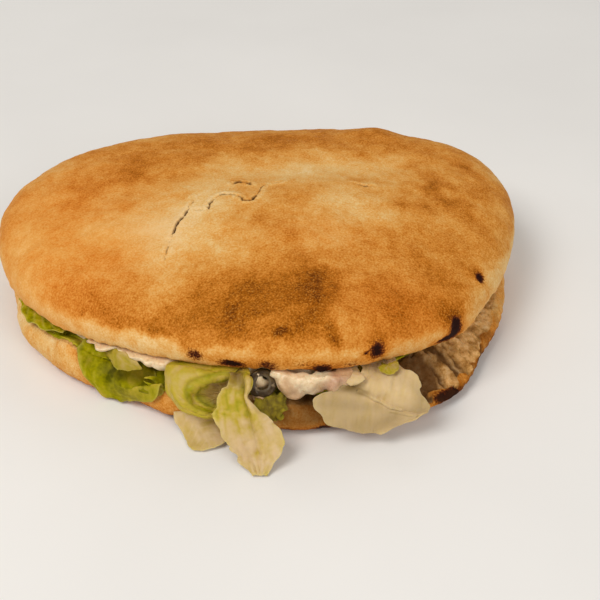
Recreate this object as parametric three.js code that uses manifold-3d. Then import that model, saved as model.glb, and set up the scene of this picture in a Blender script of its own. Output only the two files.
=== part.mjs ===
// A filled flatbread sandwich: an oval, pizza-dough bread cut in two, with a creamy ham salad on a bed of
// lettuce inside it, and loose lettuce leaves and olive slices that show at the open front.
//
// Units are millimetres. +Z is up, the open front faces -Y, and the origin is on the flat base, under the
// middle of the loaf. Plan angles are in degrees, counter-clockwise from +X, so the front is at 270.

import * as THREE from "three";
import { mergeVertices } from "three/addons/utils/BufferGeometryUtils.js";
import Module from "manifold-3d";

const wasm = await Module();
wasm.setup();

// ---------------------------------------------------------------- driving dimensions

const WIDTH = 246; // left to right, over the oval that the waves and bulges below pull out to 262
const DEPTH = 202; // front to back, over the same oval
const BOTTOM_RIM = 17; // height of the lower bread's rim over the table
const MOUTH_GAP = 14; // how far the front of the upper bread stands off the lower one
const SIDE_GAP = 6; // the same at the two ends
const BACK_GAP = 0.8; // the same at the back, where the halves nearly meet
const BACK_SWELL = 0.5; // how much thicker the upper bread is at the back than at the front
const TOUCH_GAP = 0.35; // left between any two pieces that lie on each other
const LEAF_THICKNESS = 1.5;

const AROUND = 48; // steps round a bread
const LAYER_AROUND = 50; // and round a layer of the filling
const DEGREE = Math.PI / 180;

const LOOKS = {
  crust: { color: 0xc98a45, roughness: 0.85 },
  salad: { color: 0xe6cdb8, roughness: 0.4 },
  olive: { color: 0x3d3a3c, roughness: 0.3 },
  bed: { color: 0xa5b356, roughness: 0.5 },
  green: { color: 0x7d9a1c, roughness: 0.5 },
  pale: { color: 0xc3bf7a, roughness: 0.5 },
  white: { color: 0xd0bd92, roughness: 0.5 },
};

// ---------------------------------------------------------------- plan outlines

// The loaf is a superellipse, pulled out of true by a few gentle waves round it, each
// [how many round the plan, share of the radius, turn in degrees].
const OUTLINE_POWER = 2.3;
const OUTLINE_SIZE = 0.99;
const OUTLINE_WAVES = [[1, 0.093, 87], [2, 0.015, -15], [3, 0.063, 41], [4, 0.005, 13]];

// Each half has bulges of its own, each [plan angle, spread in degrees, share of the radius], and has slid.
const UPPER = {
  shift: 0,
  bulges: [
    [12, 34, 0.03], [326, 9, 0.03], [34, 16, 0.062], [58, 7, 0.012], [90, 50, 0.016], [168, 9, 0.012],
  ],
};
const LOWER = {
  shift: -3.5,
  bulges: [
    [322, 20, 0.076], [335, 9, -0.018], [190, 32, -0.045], [218, 16, 0.034], [197, 9, 0.03],
    [212, 12, 0.012], [246, 9, 0.026], [350, 10, 0.02],
  ],
};

function softAngle(angle, centre, spread) {
  const away = ((((angle - centre) % 360) + 540) % 360) - 180;
  return Math.exp(-((away / spread) ** 2));
}

function radiusOf(half, angle) {
  const across = Math.abs(Math.cos(angle * DEGREE) / (WIDTH / 2)) ** OUTLINE_POWER;
  const along = Math.abs(Math.sin(angle * DEGREE) / (DEPTH / 2)) ** OUTLINE_POWER;
  const waves = OUTLINE_WAVES.map(([count, size, turn]) => size * Math.cos(count * (angle - turn) * DEGREE));
  const bulges = half.bulges.map(([centre, spread, size]) => size * softAngle(angle, centre, spread));
  const swell = [...waves, ...bulges].reduce((sum, value) => sum + value, OUTLINE_SIZE);
  return swell * (across + along) ** (-1 / OUTLINE_POWER);
}

// Where a place lies in a half's plan: its angle, and its distance out as a share of the radius there.
function planOf(half, x, y) {
  const angle = Math.atan2(y - half.shift, x) / DEGREE;
  return { angle, share: Math.hypot(x, y - half.shift) / radiusOf(half, angle) };
}

// How near a place is to the back of the loaf, from 0 at the front edge to 1 at the back edge.
function backness(y) {
  return 0.5 + 0.5 * Math.sin((Math.PI / 2) * clamp((2 * y) / DEPTH, -1, 1));
}

// ---------------------------------------------------------------- shape helpers

function clamp(value, low, high) {
  return Math.max(low, Math.min(high, value));
}

function mix(a, b, t) {
  return a + (b - a) * t;
}

// From 0 to 1 as a value goes from low to high.
function rampUp(low, high, value) {
  return clamp((value - low) / (high - low), 0, 1);
}

// A soft bump or dent, as a share of its full height at a place.
function softSpot({ x, y, alongX, alongY, turn = 0 }, px, py) {
  const c = Math.cos(turn * DEGREE);
  const s = Math.sin(turn * DEGREE);
  const u = ((px - x) * c + (py - y) * s) / alongX;
  const v = (-(px - x) * s + (py - y) * c) / alongY;
  return Math.exp(-(u * u + v * v));
}

function geometryOf(points, triangles) {
  const geometry = new THREE.BufferGeometry();
  geometry.setAttribute("position", new THREE.Float32BufferAttribute(points.flat(), 3));
  geometry.setIndex(triangles);
  return geometry;
}

// A closed body from rings: the first ring and the last are single points.
function bodyFromRings(rings) {
  const around = rings[1].length;
  const points = rings.flat();
  const triangles = [];
  const start = (ring) => 1 + (ring - 1) * around;
  for (let i = 0; i < around; i++) {
    const next = (i + 1) % around;
    triangles.push(0, start(1) + next, start(1) + i);
    for (let ring = 1; ring < rings.length - 2; ring++) {
      const a = start(ring) + i;
      const b = start(ring) + next;
      triangles.push(a, b, b + around, a, b + around, a + around);
    }
    const last = start(rings.length - 2);
    triangles.push(last + i, last + next, points.length - 1);
  }
  return geometryOf(points, triangles);
}

// Points spaced evenly along a smooth line through [share of the radius, height] pairs.
function smoothProfile(pairs, count) {
  const half = WIDTH / 2;
  const points = pairs.map(([share, height]) => new THREE.Vector2(share * half, height));
  const curve = new THREE.SplineCurve(points);
  return curve.getSpacedPoints(count).map((p) => [p.x / half, p.y]);
}

// The height of a profile at a share of the radius. Its shares run one way, outwards.
function heightAt(profile, share) {
  for (let i = 1; i < profile.length; i++) {
    const [outer, outerHeight] = profile[i];
    const [inner, innerHeight] = profile[i - 1];
    if (share <= outer) return mix(innerHeight, outerHeight, clamp((share - inner) / (outer - inner), 0, 1));
  }
  return profile[profile.length - 1][1];
}

// A round body whose profile runs from the middle of its underside, round the rim, to the middle of its top.
function roundBody(half, profile, around, place) {
  const rings = profile.map(([share, height], row) => {
    if (row === 0 || row === profile.length - 1) return [place(0, half.shift, 0, height, 0)];
    return Array.from({ length: around }, (_, i) => {
      const angle = (360 * (i + 0.5)) / around;
      const radius = share * radiusOf(half, angle);
      const x = radius * Math.cos(angle * DEGREE);
      const y = radius * Math.sin(angle * DEGREE) + half.shift;
      return place(x, y, share, height, angle);
    });
  });
  return bodyFromRings(rings);
}

// ---------------------------------------------------------------- lower bread

const RIM_SHARE = 0.95; // where the cut face meets the crust, as a share of the radius
const LOWER_SIDE = [[0.9, 0], [0.955, 1.2], [0.99, 5], [1, 10], [0.985, 14.5], [RIM_SHARE, BOTTOM_RIM]];
const LOWER_DISH = [[0, 9], [0.35, 9.5], [0.65, 11.5], [0.86, 15.5], [RIM_SHARE, BOTTOM_RIM]];
const LOWER_TOP = smoothProfile(LOWER_DISH, 9);

// At the right of the front the cut runs low, so the torn crumb slopes up from the edge to a ridge inside it.
// It drops over the shares of the radius from dropFrom to dropTo.
const TORN = {
  angle: 316, spread: 26, drop: 10, dropFrom: 0.84, dropTo: 0.96,
  rise: 6.5, ridge: 0.82, ridgeSpread: 0.13,
};
// At the left of the front the rim stands up a little, over the shares of the radius from riseFrom to riseTo.
const LIP = { angle: 214, spread: 5, rise: 4.5, riseFrom: 0.75, riseTo: 0.95 };

function lowerHeight(share, height, angle) {
  const topShare = height / BOTTOM_RIM; // the crust's foot stays where it is
  const drop = TORN.drop * rampUp(TORN.dropFrom, TORN.dropTo, share) * topShare;
  const rise = TORN.rise * Math.exp(-(((share - TORN.ridge) / TORN.ridgeSpread) ** 2));
  const torn = softAngle(angle, TORN.angle, TORN.spread) * (Math.min(height, rise) - drop);
  const lip = LIP.rise * softAngle(angle, LIP.angle, LIP.spread) * rampUp(LIP.riseFrom, LIP.riseTo, share);
  return height + torn + lip * topShare;
}

function lowerTop(x, y) {
  const { angle, share } = planOf(LOWER, x, y);
  return lowerHeight(Math.min(share, RIM_SHARE), heightAt(LOWER_TOP, share), angle);
}

function lowerBread() {
  const foot = [[0, 0], [0.45, 0]];
  const profile = [...foot, ...smoothProfile(LOWER_SIDE, 7), ...LOWER_TOP.toReversed().slice(1)];
  return roundBody(LOWER, profile, AROUND, (x, y, share, height, angle) => {
    return [x, y, lowerHeight(share, height, angle)];
  });
}

// ---------------------------------------------------------------- upper bread

// Heights over the lower edge of the upper bread's rim.
const UPPER_INSIDE = [[0, 3.5], [0.5, 3], [0.82, 1.4], [RIM_SHARE, 0]];
const UPPER_UNDER = smoothProfile(UPPER_INSIDE, 5);
const UPPER_CRUST = [
  [RIM_SHARE, 0], [0.985, 2], [1, 7], [0.985, 12.5], [0.93, 18], [0.82, 22.5], [0.6, 26], [0.3, 28],
  [0, 28.5],
];
const CRUST_STARTS = 8; // between these heights the crest and the valley come in
const CRUST_FULL = 28;
const SWELLS = [
  { x: 15, y: -8, alongX: 70, alongY: 26, turn: 12, height: 2.5 }, // the crest across the front
  { x: 30, y: 34, alongX: 75, alongY: 15, turn: 8, height: -2.5 }, // the valley behind it
  { x: 61, y: 84, alongX: 12, alongY: 14, height: 4.5 }, // the knob at the back
];
const MOUTH = { x: 14, y: 0, alongX: 65, alongY: 1000 }; // where the mouth gapes, all through the depth

// How far the upper bread's rim stands over the table at a place: it opens towards the front.
function upperLift(x, y) {
  return BOTTOM_RIM + BACK_GAP + (1 - backness(y)) * mix(SIDE_GAP, MOUTH_GAP, softSpot(MOUTH, x, y));
}

function upperUnder(x, y) {
  return upperLift(x, y) + heightAt(UPPER_UNDER, planOf(UPPER, x, y).share) * (1 + BACK_SWELL * backness(y));
}

function upperBread() {
  const profile = [...UPPER_UNDER, ...smoothProfile(UPPER_CRUST, 12).slice(1)];
  return roundBody(UPPER, profile, AROUND, (x, y, share, height) => {
    const onCrust = rampUp(CRUST_STARTS, CRUST_FULL, height);
    const swell = SWELLS.reduce((sum, spot) => sum + spot.height * softSpot(spot, x, y), 0);
    return [x, y, upperLift(x, y) + height * (1 + BACK_SWELL * backness(y)) + onCrust * swell];
  });
}

// ---------------------------------------------------------------- filling layers

const FILLING = { front: 0.95, back: 0.76 }; // the filling's outline, as a share of the lower bread's
const BED_SHARE = 0.28; // how much of the gap between the breads the lettuce bed takes
// It lies back a little at the middle of the mouth, more so round the olive slice and behind the torn crumb.
const SALAD_BULGES = [
  { x: 26, y: -95, alongX: 24, alongY: 25, share: -0.015 },
  { x: 5, y: -96, alongX: 9, alongY: 12, share: -0.05 },
  { x: 82, y: -72, alongX: 34, alongY: 28, share: -0.16 },
];
const LUMPS = [[9, 0.01, 3], [14, 0.007, 11]]; // waves round the filling's edge, as those of the outline

const SINK = 3; // how far a layer is first made into the bread, which is then cut from it

// How high the lettuce bed comes at a place.
function bedTop(x, y) {
  return mix(lowerTop(x, y), upperUnder(x, y), BED_SHARE);
}

// A layer that runs all through the loaf, between two surfaces.
function fillingLayer(lowAt, highAt) {
  const underside = [[0, 0], [0.45, 0], [0.9, 0]];
  const edge = [[0.98, 0.2], [1, 0.5], [0.98, 0.8]];
  const top = [[0.9, 1], [0.7, 1], [0.35, 1], [0, 1]];
  return roundBody(LOWER, [...underside, ...edge, ...top], LAYER_AROUND, (x, y, share, level, angle) => {
    const waves = LUMPS.map(([count, size, turn]) => size * Math.cos(count * (angle - turn) * DEGREE));
    const bulges = SALAD_BULGES.map((spot) => spot.share * softSpot(spot, x, y));
    const start = mix(FILLING.front, FILLING.back, backness(y));
    const outline = [...waves, ...bulges].reduce((sum, value) => sum + value, start);
    const px = x * outline;
    const py = (y - LOWER.shift) * outline + LOWER.shift;
    return [px, py, mix(lowAt(px, py), highAt(px, py), level)];
  });
}

function lettuceBed() {
  return fillingLayer((x, y) => lowerTop(x, y) - SINK, bedTop);
}

function saladLayer() {
  return fillingLayer((x, y) => bedTop(x, y) + 2 * TOUCH_GAP, (x, y) => upperUnder(x, y) + SINK);
}

// ---------------------------------------------------------------- leaves

// A point moved clear of both breads and of the table, by the gap given: over the lower cut face or out past
// the lower crust, and under the upper bread as far out as that reaches.
function clearOfBread(point, gap) {
  point.z = Math.max(point.z, gap);
  const lower = planOf(LOWER, point.x, point.y);
  if (lower.share < RIM_SHARE) point.z = Math.max(point.z, lowerTop(point.x, point.y) + gap);
  else pushOut(point, LOWER, lower, sideShare(LOWER_SIDE, point.z), gap);
  const upper = planOf(UPPER, point.x, point.y);
  const roofAt = upper.share < RIM_SHARE ? upperUnder : upperLift;
  if (upper.share < 1) point.z = Math.min(point.z, roofAt(point.x, point.y) - gap);
  return point;
}

// How far out a side stands at a height, as a share of the radius: 0 above its rim.
function sideShare(side, height) {
  if (height > side[side.length - 1][1] + TOUCH_GAP) return 0;
  const upright = side.map(([share, level]) => [level, share]);
  return heightAt(upright, height);
}

function pushOut(point, half, plan, share, gap) {
  const radius = Math.hypot(point.x, point.y - half.shift);
  const least = share * radiusOf(half, plan.angle) + gap;
  if (share === 0 || radius >= least) return;
  point.x *= least / radius;
  point.y = half.shift + (point.y - half.shift) * (least / radius);
}

// A closed sheet from a surface of two shares, along it and across it.
function sheetBody(surface, alongCount, acrossCount) {
  const half = LEAF_THICKNESS / 2;
  const sides = [half, -half].map((offset) => {
    const rows = [];
    for (let i = 0; i <= alongCount; i++) {
      for (let j = 0; j <= acrossCount; j++) {
        const u = i / alongCount;
        const v = j / acrossCount;
        rows.push(surface(u, v).addScaledVector(surfaceNormal(surface, u, v), offset).toArray());
      }
    }
    return rows;
  });
  const width = acrossCount + 1;
  const other = sides[0].length;
  const triangles = [];
  const quad = (a, b, c, d) => triangles.push(a, b, c, a, c, d);
  for (let i = 0; i < alongCount; i++) {
    for (let j = 0; j < acrossCount; j++) {
      const a = i * width + j;
      quad(a, a + width, a + width + 1, a + 1);
      quad(other + a, other + a + 1, other + a + width + 1, other + a + width);
    }
    const left = i * width;
    const right = left + acrossCount;
    quad(left, other + left, other + left + width, left + width);
    quad(right, right + width, other + right + width, other + right);
  }
  for (let j = 0; j < acrossCount; j++) {
    const end = alongCount * width + j;
    quad(j, j + 1, other + j + 1, other + j);
    quad(end, other + end, other + end + 1, end + 1);
  }
  return geometryOf(sides.flat(), triangles);
}

const NORMAL_STEP = 0.01; // how far along and across a surface its slopes are taken over

function surfaceNormal(surface, u, v) {
  const step = NORMAL_STEP;
  const along = surface(Math.min(u + step, 1), v).sub(surface(Math.max(u - step, 0), v));
  const across = surface(u, Math.min(v + step, 1)).sub(surface(u, Math.max(v - step, 0)));
  return along.cross(across).normalize();
}

// A leaf along a spine, whose points are [x, y, z, reach to the left, reach to the right]. It lies across the
// given direction, and its edges stand up by cup and wave by ruffle.
function leafSurface({ spine, across, cup = 0, ruffle = 0, ruffles = 3 }) {
  const line = new THREE.CatmullRomCurve3(spine.map(([x, y, z]) => new THREE.Vector3(x, y, z)));
  const reaches = (of) => new THREE.SplineCurve(spine.map((p, i) => new THREE.Vector2(i, of(p))));
  const left = reaches((p) => p[3]);
  const right = reaches((p) => p[4]);
  const side = new THREE.Vector3(...across).normalize();
  return (u, v) => {
    const at = line.getUtoTmapping(u);
    const tangent = line.getTangent(at);
    const sideways = side.clone().addScaledVector(tangent, -side.dot(tangent)).normalize();
    const up = tangent.clone().cross(sideways);
    const off = 2 * v - 1;
    const reach = (off < 0 ? left : right).getPoint(at).y;
    const lift = ruffle * Math.sin(2 * Math.PI * ruffles * u + 2 * off) + cup;
    const point = line.getPoint(at);
    point.addScaledVector(sideways, reach * off);
    point.addScaledVector(up, lift * off * off);
    return clearOfBread(point, LEAF_THICKNESS / 2 + 2 * TOUCH_GAP);
  };
}

const LEAVES = {
  // the strip of green edge at the far left of the mouth
  lettuce_strip: {
    spine: [
      [-112, -20, 20, 3, 3], [-107, -31, 20.6, 6, 6], [-100, -41, 21, 6.5, 6.5],
      [-93, -48, 21.5, 5, 5], [-87, -52, 22, 2, 2],
    ],
    across: [0.6, 0.8, 0],
    ruffle: 0.8,
    ruffles: 4,
    cup: -0.6,
    look: "green",
    grid: [9, 3],
  },
  // the broad green leaf that hangs over the rim at the left
  lettuce_green: {
    spine: [
      [-52, -58, 21.5, 14, 14], [-58, -68.5, 20.8, 20, 18], [-60.5, -73.5, 19.2, 21.5, 21],
      [-62, -76.4, 14.5, 17, 24], [-62, -77.6, 9.5, 11.5, 27.5], [-60, -79, 5, 8.5, 26],
      [-58.5, -79.6, 1.9, 3, 19],
    ],
    across: [0.87, -0.49, 0],
    ruffle: 0.9,
    ruffles: 2,
    cup: -0.6,
    look: "green",
    grid: [11, 9],
  },
  // the small pale piece that lies on it
  lettuce_flap: {
    spine: [
      [-66, -62, 23, 4.4, 4.4], [-63.6, -67.4, 23.4, 5.2, 4.6], [-60, -72.4, 22.8, 5.8, 5],
      [-57, -75.4, 21.6, 5.6, 5], [-53.4, -77.4, 20, 4.2, 4.4], [-50, -78.8, 18.6, 1.8, 2.2],
    ],
    across: [0.67, -0.15, 0.74],
    cup: -0.4,
    ruffle: 0.4,
    look: "pale",
    grid: [7, 4],
  },
  // the pale leaf behind the long one, down the crust and out on the table
  lettuce_back: {
    spine: [
      [-26.5, -93.4, 10, 9, 6], [-26, -95.2, 6.8, 9.6, 10], [-24.6, -97.4, 3.8, 7.6, 13],
      [-21.5, -102, 2, 8, 11], [-19, -106, 1.5, 7.4, 9], [-18, -108.7, 1.3, 3.5, 4.5],
    ],
    across: [0.96, -0.28, 0],
    cup: 0.3,
    ruffle: 0.4,
    ruffles: 2,
    look: "white",
    grid: [9, 6],
  },
  // the long leaf that hangs out of the mouth to the table in front
  lettuce_tongue: {
    spine: [
      [-6, -86, 28.5, 5, 3], [-4.5, -92, 30, 5.5, 3], [-4, -96, 30.6, 6.2, 3.1], [-3.2, -99.5, 29, 8.6, 3.4],
      [-3.2, -102.5, 25.5, 11.2, 1.2], [-2, -105.8, 20.8, 15, 4], [-1.1, -109.2, 16, 13.6, 9.8],
      [0.8, -112.8, 10.5, 12, 12.3], [1.6, -116, 7, 8.6, 11.8], [2.9, -121.6, 1.8, 4.6, 5.2],
      [3, -124.6, 1, 3, 3],
    ],
    across: [1, -0.1, 0.1],
    ruffle: 0.4,
    ruffles: 2.4,
    look: "pale",
    grid: [18, 6],
  },
  // the frilly tuft under the olive slice
  lettuce_tuft: {
    spine: [
      [6.6, -88, 18.6, 6, 6], [6.8, -94.5, 19.4, 8, 6.4], [7, -98.5, 18.6, 8, 6.8],
      [7.4, -101, 14.6, 7.5, 7], [7.6, -101.6, 10.8, 4, 4.5],
    ],
    across: [1, 0, 0],
    ruffle: 1.6,
    ruffles: 2.5,
    cup: 0.3,
    look: "green",
    grid: [8, 6],
  },
  // the broad pale leaf at the right of the mouth
  lettuce_broad: {
    spine: [
      [54, -78, 27.2, 8, 7], [54, -84, 27.7, 9.5, 8.5], [53.8, -90, 27.6, 7.5, 16], [53, -95, 26.2, 12, 18.5],
      [52.4, -98, 24.6, 14, 21], [52, -99.8, 22.6, 18, 23], [51.6, -101.2, 20.6, 24.6, 24],
      [51.2, -102.2, 18.3, 28, 22.5], [50.6, -103.8, 13.8, 21.6, 18], [50.4, -104.6, 9.6, 12, 9],
      [50.3, -105, 6.8, 3.5, 3],
    ],
    across: [1, 0.1, -0.06],
    cup: 0.8,
    ruffle: 0.5,
    ruffles: 2,
    look: "white",
    grid: [12, 9],
  },
  // the little curl beside it
  lettuce_curl: {
    spine: [
      [41, -86, 28.2, 3, 3], [41.5, -91, 29, 4, 4], [42.3, -94.5, 29.8, 4.2, 4.2],
      [44, -96.6, 29.4, 3.8, 3.6], [45, -97.4, 28.2, 2.4, 2.4],
    ],
    across: [1, 0.1, 0.15],
    cup: -1.2,
    look: "white",
    grid: [7, 4],
  },
  // the green scrap on it
  lettuce_scrap: {
    spine: [
      [57.5, -83, 29.8, 3, 3], [57.5, -88, 30.6, 4.4, 4.8], [56, -91, 30.7, 3.6, 4],
      [54.8, -93, 30.4, 1.5, 1.5],
    ],
    across: [1, 0.15, 0],
    ruffle: 0.3,
    cup: -0.4,
    look: "green",
    grid: [5, 4],
  },
};

// The curled leaf is rolled over at its front into an open fold. It runs through a row of ovals, from the
// part tucked behind, over its round outside and its lip, to the inside of the fold. Each oval is [its middle
// to the right and up, how far forward it lies, half its width, half its height, its turn]. Right, up and
// forward are the leaf's own axes about its middle, and lean back by the angle given. The ovals are open at
// the right: they run anticlockwise between two angles.
const CURL = {
  middle: [-23.1, -96, 18.4],
  lean: 36,
  from: 48,
  to: 292,
  grid: [12, 14],
  ovals: [
    [3, 4, -8, 15, 10, -20],
    [2.5, 4.5, -3.5, 18.5, 12, -22],
    [4, 2.5, 2.5, 15.5, 9.8, -14],
    [6.5, 1.2, 3.6, 13.3, 8.4, -8],
    [7, 0.7, 2.6, 11.4, 7, -6],
    [8, 0.7, -0.6, 8.8, 5.2, -4],
    [9, 0.6, -1.4, 4, 2.4, 0],
  ],
};

function curledSurface(u, v) {
  const angle = mix(CURL.from, CURL.to, v) * DEGREE;
  const lean = CURL.lean * DEGREE;
  const places = CURL.ovals.map(([right, up, forward, halfWidth, halfHeight, turn]) => {
    const place = new THREE.Vector2(halfWidth * Math.cos(angle), halfHeight * Math.sin(angle));
    place.rotateAround(new THREE.Vector2(), turn * DEGREE);
    return new THREE.Vector3(right + place.x, up + place.y, forward);
  });
  const { x: right, y: up, z: forward } = new THREE.CatmullRomCurve3(places).getPoint(u);
  const point = new THREE.Vector3(...CURL.middle);
  point.x += right;
  point.y += up * Math.sin(lean) - forward * Math.cos(lean);
  point.z += up * Math.cos(lean) + forward * Math.sin(lean);
  return clearOfBread(point, LEAF_THICKNESS / 2 + 2 * TOUCH_GAP);
}

// ---------------------------------------------------------------- olive slices

const OLIVE = { outer: 6.3, hole: 2.8, thickness: 2.8, sides: 6, steps: 14 };

// A ring cut from an olive: where its middle lies, how far it leans back from facing the front, and how it
// is turned about Z.
const OLIVES = {
  olive_front: { at: [3.8, -93, 24.6], tilt: 38, turn: 6 },
  olive_left: { at: [-65.5, -61.5, 22.8], tilt: 82, turn: -30 },
};

function oliveSlice({ at, tilt, turn }) {
  const middle = (OLIVE.outer + OLIVE.hole) / 2;
  const wall = (OLIVE.outer - OLIVE.hole) / 2;
  const section = Array.from({ length: OLIVE.sides + 1 }, (_, i) => {
    const around = (2 * Math.PI * i) / OLIVE.sides;
    return new THREE.Vector2(middle + wall * Math.cos(around), (OLIVE.thickness / 2) * Math.sin(around));
  });
  const ring = new THREE.LatheGeometry(section, OLIVE.steps);
  ring.rotateX(-tilt * DEGREE);
  ring.rotateZ(turn * DEGREE);
  ring.translate(...at);
  return ring;
}

// ---------------------------------------------------------------- joins and cuts

const MERGE_WITHIN = 1e-4; // vertices this near each other are one

// A geometry's positions and faces alone, with shared vertices merged.
function bareOf(geometry) {
  const bare = geometry.clone();
  bare.deleteAttribute("normal");
  bare.deleteAttribute("uv");
  return mergeVertices(bare, MERGE_WITHIN);
}

function solidOf(geometry) {
  const bare = bareOf(geometry);
  const mesh = new wasm.Mesh({
    numProp: 3,
    vertProperties: new Float32Array(bare.getAttribute("position").array),
    triVerts: new Uint32Array(bare.getIndex().array),
  });
  mesh.merge();
  return new wasm.Manifold(mesh);
}

// The same body, swollen by a gap on every side.
function swollen(geometry, gap) {
  const grown = bareOf(geometry);
  grown.computeVertexNormals();
  const position = grown.getAttribute("position");
  const normal = grown.getAttribute("normal");
  for (let i = 0; i < position.count; i++) {
    const x = position.getX(i) + gap * normal.getX(i);
    const y = position.getY(i) + gap * normal.getY(i);
    const z = position.getZ(i) + gap * normal.getZ(i);
    position.setXYZ(i, x, y, z);
  }
  return solidOf(grown);
}

function largestPiece(solid) {
  const pieces = solid.decompose().sort((a, b) => b.volume() - a.volume());
  const mesh = pieces[0].getMesh();
  return geometryOf([...mesh.vertProperties], [...mesh.triVerts]);
}

// What is left of a body beside its neighbours: its largest piece, without what hangs on it by a point.
function cutClear(geometry, neighbours) {
  const cut = (solid, other) => solid.subtract(swollen(other, TOUCH_GAP)).subtract(solidOf(other));
  const left = neighbours.reduce(cut, solidOf(geometry));
  return largestPiece(solidOf(largestPiece(left)));
}

// ---------------------------------------------------------------- the sandwich

const root = new THREE.Group();

function add(name, geometry, look) {
  const mesh = new THREE.Mesh(geometry, new THREE.MeshStandardMaterial({ ...LOOKS[look], metalness: 0 }));
  mesh.name = name;
  root.add(mesh);
}

// Each piece keeps clear of the whole shape of those placed before it.
const placed = [];

function addClear(name, geometry, look) {
  add(name, cutClear(geometry, placed), look);
  placed.push(geometry);
}

for (const [name, bread] of [["bread_bottom", lowerBread()], ["bread_top", upperBread()]]) {
  add(name, bread, "crust");
  placed.push(bread);
}
for (const [name, slice] of Object.entries(OLIVES)) addClear(name, oliveSlice(slice), "olive");
addClear("lettuce_curled", sheetBody(curledSurface, ...CURL.grid), "pale");
for (const [name, leaf] of Object.entries(LEAVES)) {
  addClear(name, sheetBody(leafSurface(leaf), ...leaf.grid), leaf.look);
}
addClear("lettuce_bed", lettuceBed(), "bed");
addClear("salad_layer", saladLayer(), "salad");

export default root;
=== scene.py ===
"""Looks of a filled flatbread sandwich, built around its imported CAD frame.

Lengths in the tables and functions below are millimetres in the part's own frame, and MM turns them into
Blender's metres when a mesh is made. Plan angles are degrees, counter-clockwise from +X; the open front
faces -Y, so it is at 270. A last number in a call of fractal is the seed of its noise.
"""

import math

import bmesh
import bpy
import numpy as np
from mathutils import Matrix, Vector, noise
from mathutils.kdtree import KDTree


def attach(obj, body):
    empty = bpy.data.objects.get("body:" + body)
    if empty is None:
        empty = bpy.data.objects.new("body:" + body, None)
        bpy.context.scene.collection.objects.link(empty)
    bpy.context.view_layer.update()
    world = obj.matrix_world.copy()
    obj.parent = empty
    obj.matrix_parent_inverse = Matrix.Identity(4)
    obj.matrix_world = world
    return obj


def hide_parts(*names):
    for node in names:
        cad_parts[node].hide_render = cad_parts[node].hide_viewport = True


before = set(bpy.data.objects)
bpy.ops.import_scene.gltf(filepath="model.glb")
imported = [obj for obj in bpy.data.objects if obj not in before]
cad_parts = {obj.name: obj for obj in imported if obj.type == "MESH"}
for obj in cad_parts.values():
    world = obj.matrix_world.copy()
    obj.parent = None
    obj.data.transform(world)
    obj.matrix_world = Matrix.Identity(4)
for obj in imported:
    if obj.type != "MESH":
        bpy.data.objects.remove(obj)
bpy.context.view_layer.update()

MM = 0.001

# ---------------------------------------------------------------- shape of the loaf, as the CAD part has it

WIDTH = 246.0
DEPTH = 202.0
BOTTOM_RIM = 17.0
MOUTH_GAP = 14.0
SIDE_GAP = 6.0
BACK_GAP = 0.8
BACK_SWELL = 0.5  # how much taller the upper bread is at the back, as a share of its height
RIM_SHARE = 0.95
OUTLINE_POWER = 2.3
OUTLINE_SIZE = 0.99
OUTLINE_WAVES = [(1, 0.093, 87), (2, 0.015, -15), (3, 0.063, 41), (4, 0.005, 13)]
UPPER = {
    "shift": 0,
    "bulges": [
        (12, 34, 0.03), (326, 9, 0.03), (34, 16, 0.062), (58, 7, 0.012), (90, 50, 0.016), (168, 9, 0.012),
    ],
}
LOWER = {
    "shift": -3.5,
    "bulges": [
        (322, 20, 0.076), (335, 9, -0.018), (190, 32, -0.045), (218, 16, 0.034), (197, 9, 0.03),
        (212, 12, 0.012), (246, 9, 0.026), (350, 10, 0.02),
    ],
}
# Profiles, each point [share of the radius, height]. The upper bread's heights start from its rim.
LOWER_SIDE = [(0.9, 0), (0.955, 1.2), (0.99, 5), (1, 10), (0.985, 14.5), (RIM_SHARE, BOTTOM_RIM)]
LOWER_DISH = [(0, 9), (0.35, 9.5), (0.65, 11.5), (0.86, 15.5), (RIM_SHARE, BOTTOM_RIM)]
UPPER_INSIDE = [(0, 3.5), (0.5, 3), (0.82, 1.4), (RIM_SHARE, 0)]
UPPER_CRUST = [
    (RIM_SHARE, 0), (0.985, 2), (1, 7), (0.985, 12.5), (0.93, 18), (0.82, 22.5), (0.6, 26), (0.3, 28),
    (0, 28.5),
]
# The torn stretch of the lower bread's rim, which drops and leaves a ridge inside it, and a lip at the left.
TORN = {
    "angle": 316, "spread": 26, "drop": 10, "drop_from": 0.84, "drop_to": 0.96,
    "rise": 6.5, "ridge": 0.82, "ridge_spread": 0.13,
}
LOWER_LIP = {"angle": 214, "spread": 5, "rise": 4.5, "rise_from": 0.75, "rise_to": 0.95}
MOUTH_AT = 14.0
MOUTH_SPREAD = 65.0
# Swells of the upper crust, as spots_at has them, which grow between two heights above its rim.
CRUST_STARTS, CRUST_FULL = 8.0, 28.0
SWELLS = [(15, -8, 70, 26, 12, 2.5), (30, 34, 75, 15, 8, -2.5), (61, 84, 12, 14, 4.5)]


def ramp_up(low, high, value):
    """From 0 to 1 as a value goes from low to high."""
    return np.clip((value - low) / (high - low), 0, 1)


def bell(value):
    return np.exp(-(value**2))


def smooth_step(low, high, value):
    t = ramp_up(low, high, value)
    return t * t * (3 - 2 * t)


def turned(a, b, degrees):
    c, s = math.cos(math.radians(degrees)), math.sin(math.radians(degrees))
    return a * c - b * s, a * s + b * c


def degrees_from(angle, centre):
    return (angle - centre + 540) % 360 - 180


def soft_angle(angle, centre, spread):
    return bell(degrees_from(angle, centre) / spread)


def arcs_at(arcs, angle):
    """A sum of soft bumps round the plan, each [plan angle, spread in degrees, how much]."""
    return sum(much * soft_angle(angle, centre, spread) for centre, spread, much in arcs)


def waves_at(waves, angle):
    """A sum of waves round the plan, each [how many, how much, the plan angle of a crest]."""
    return sum(much * np.cos(np.radians(count * (angle - start))) for count, much, start in waves)


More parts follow.
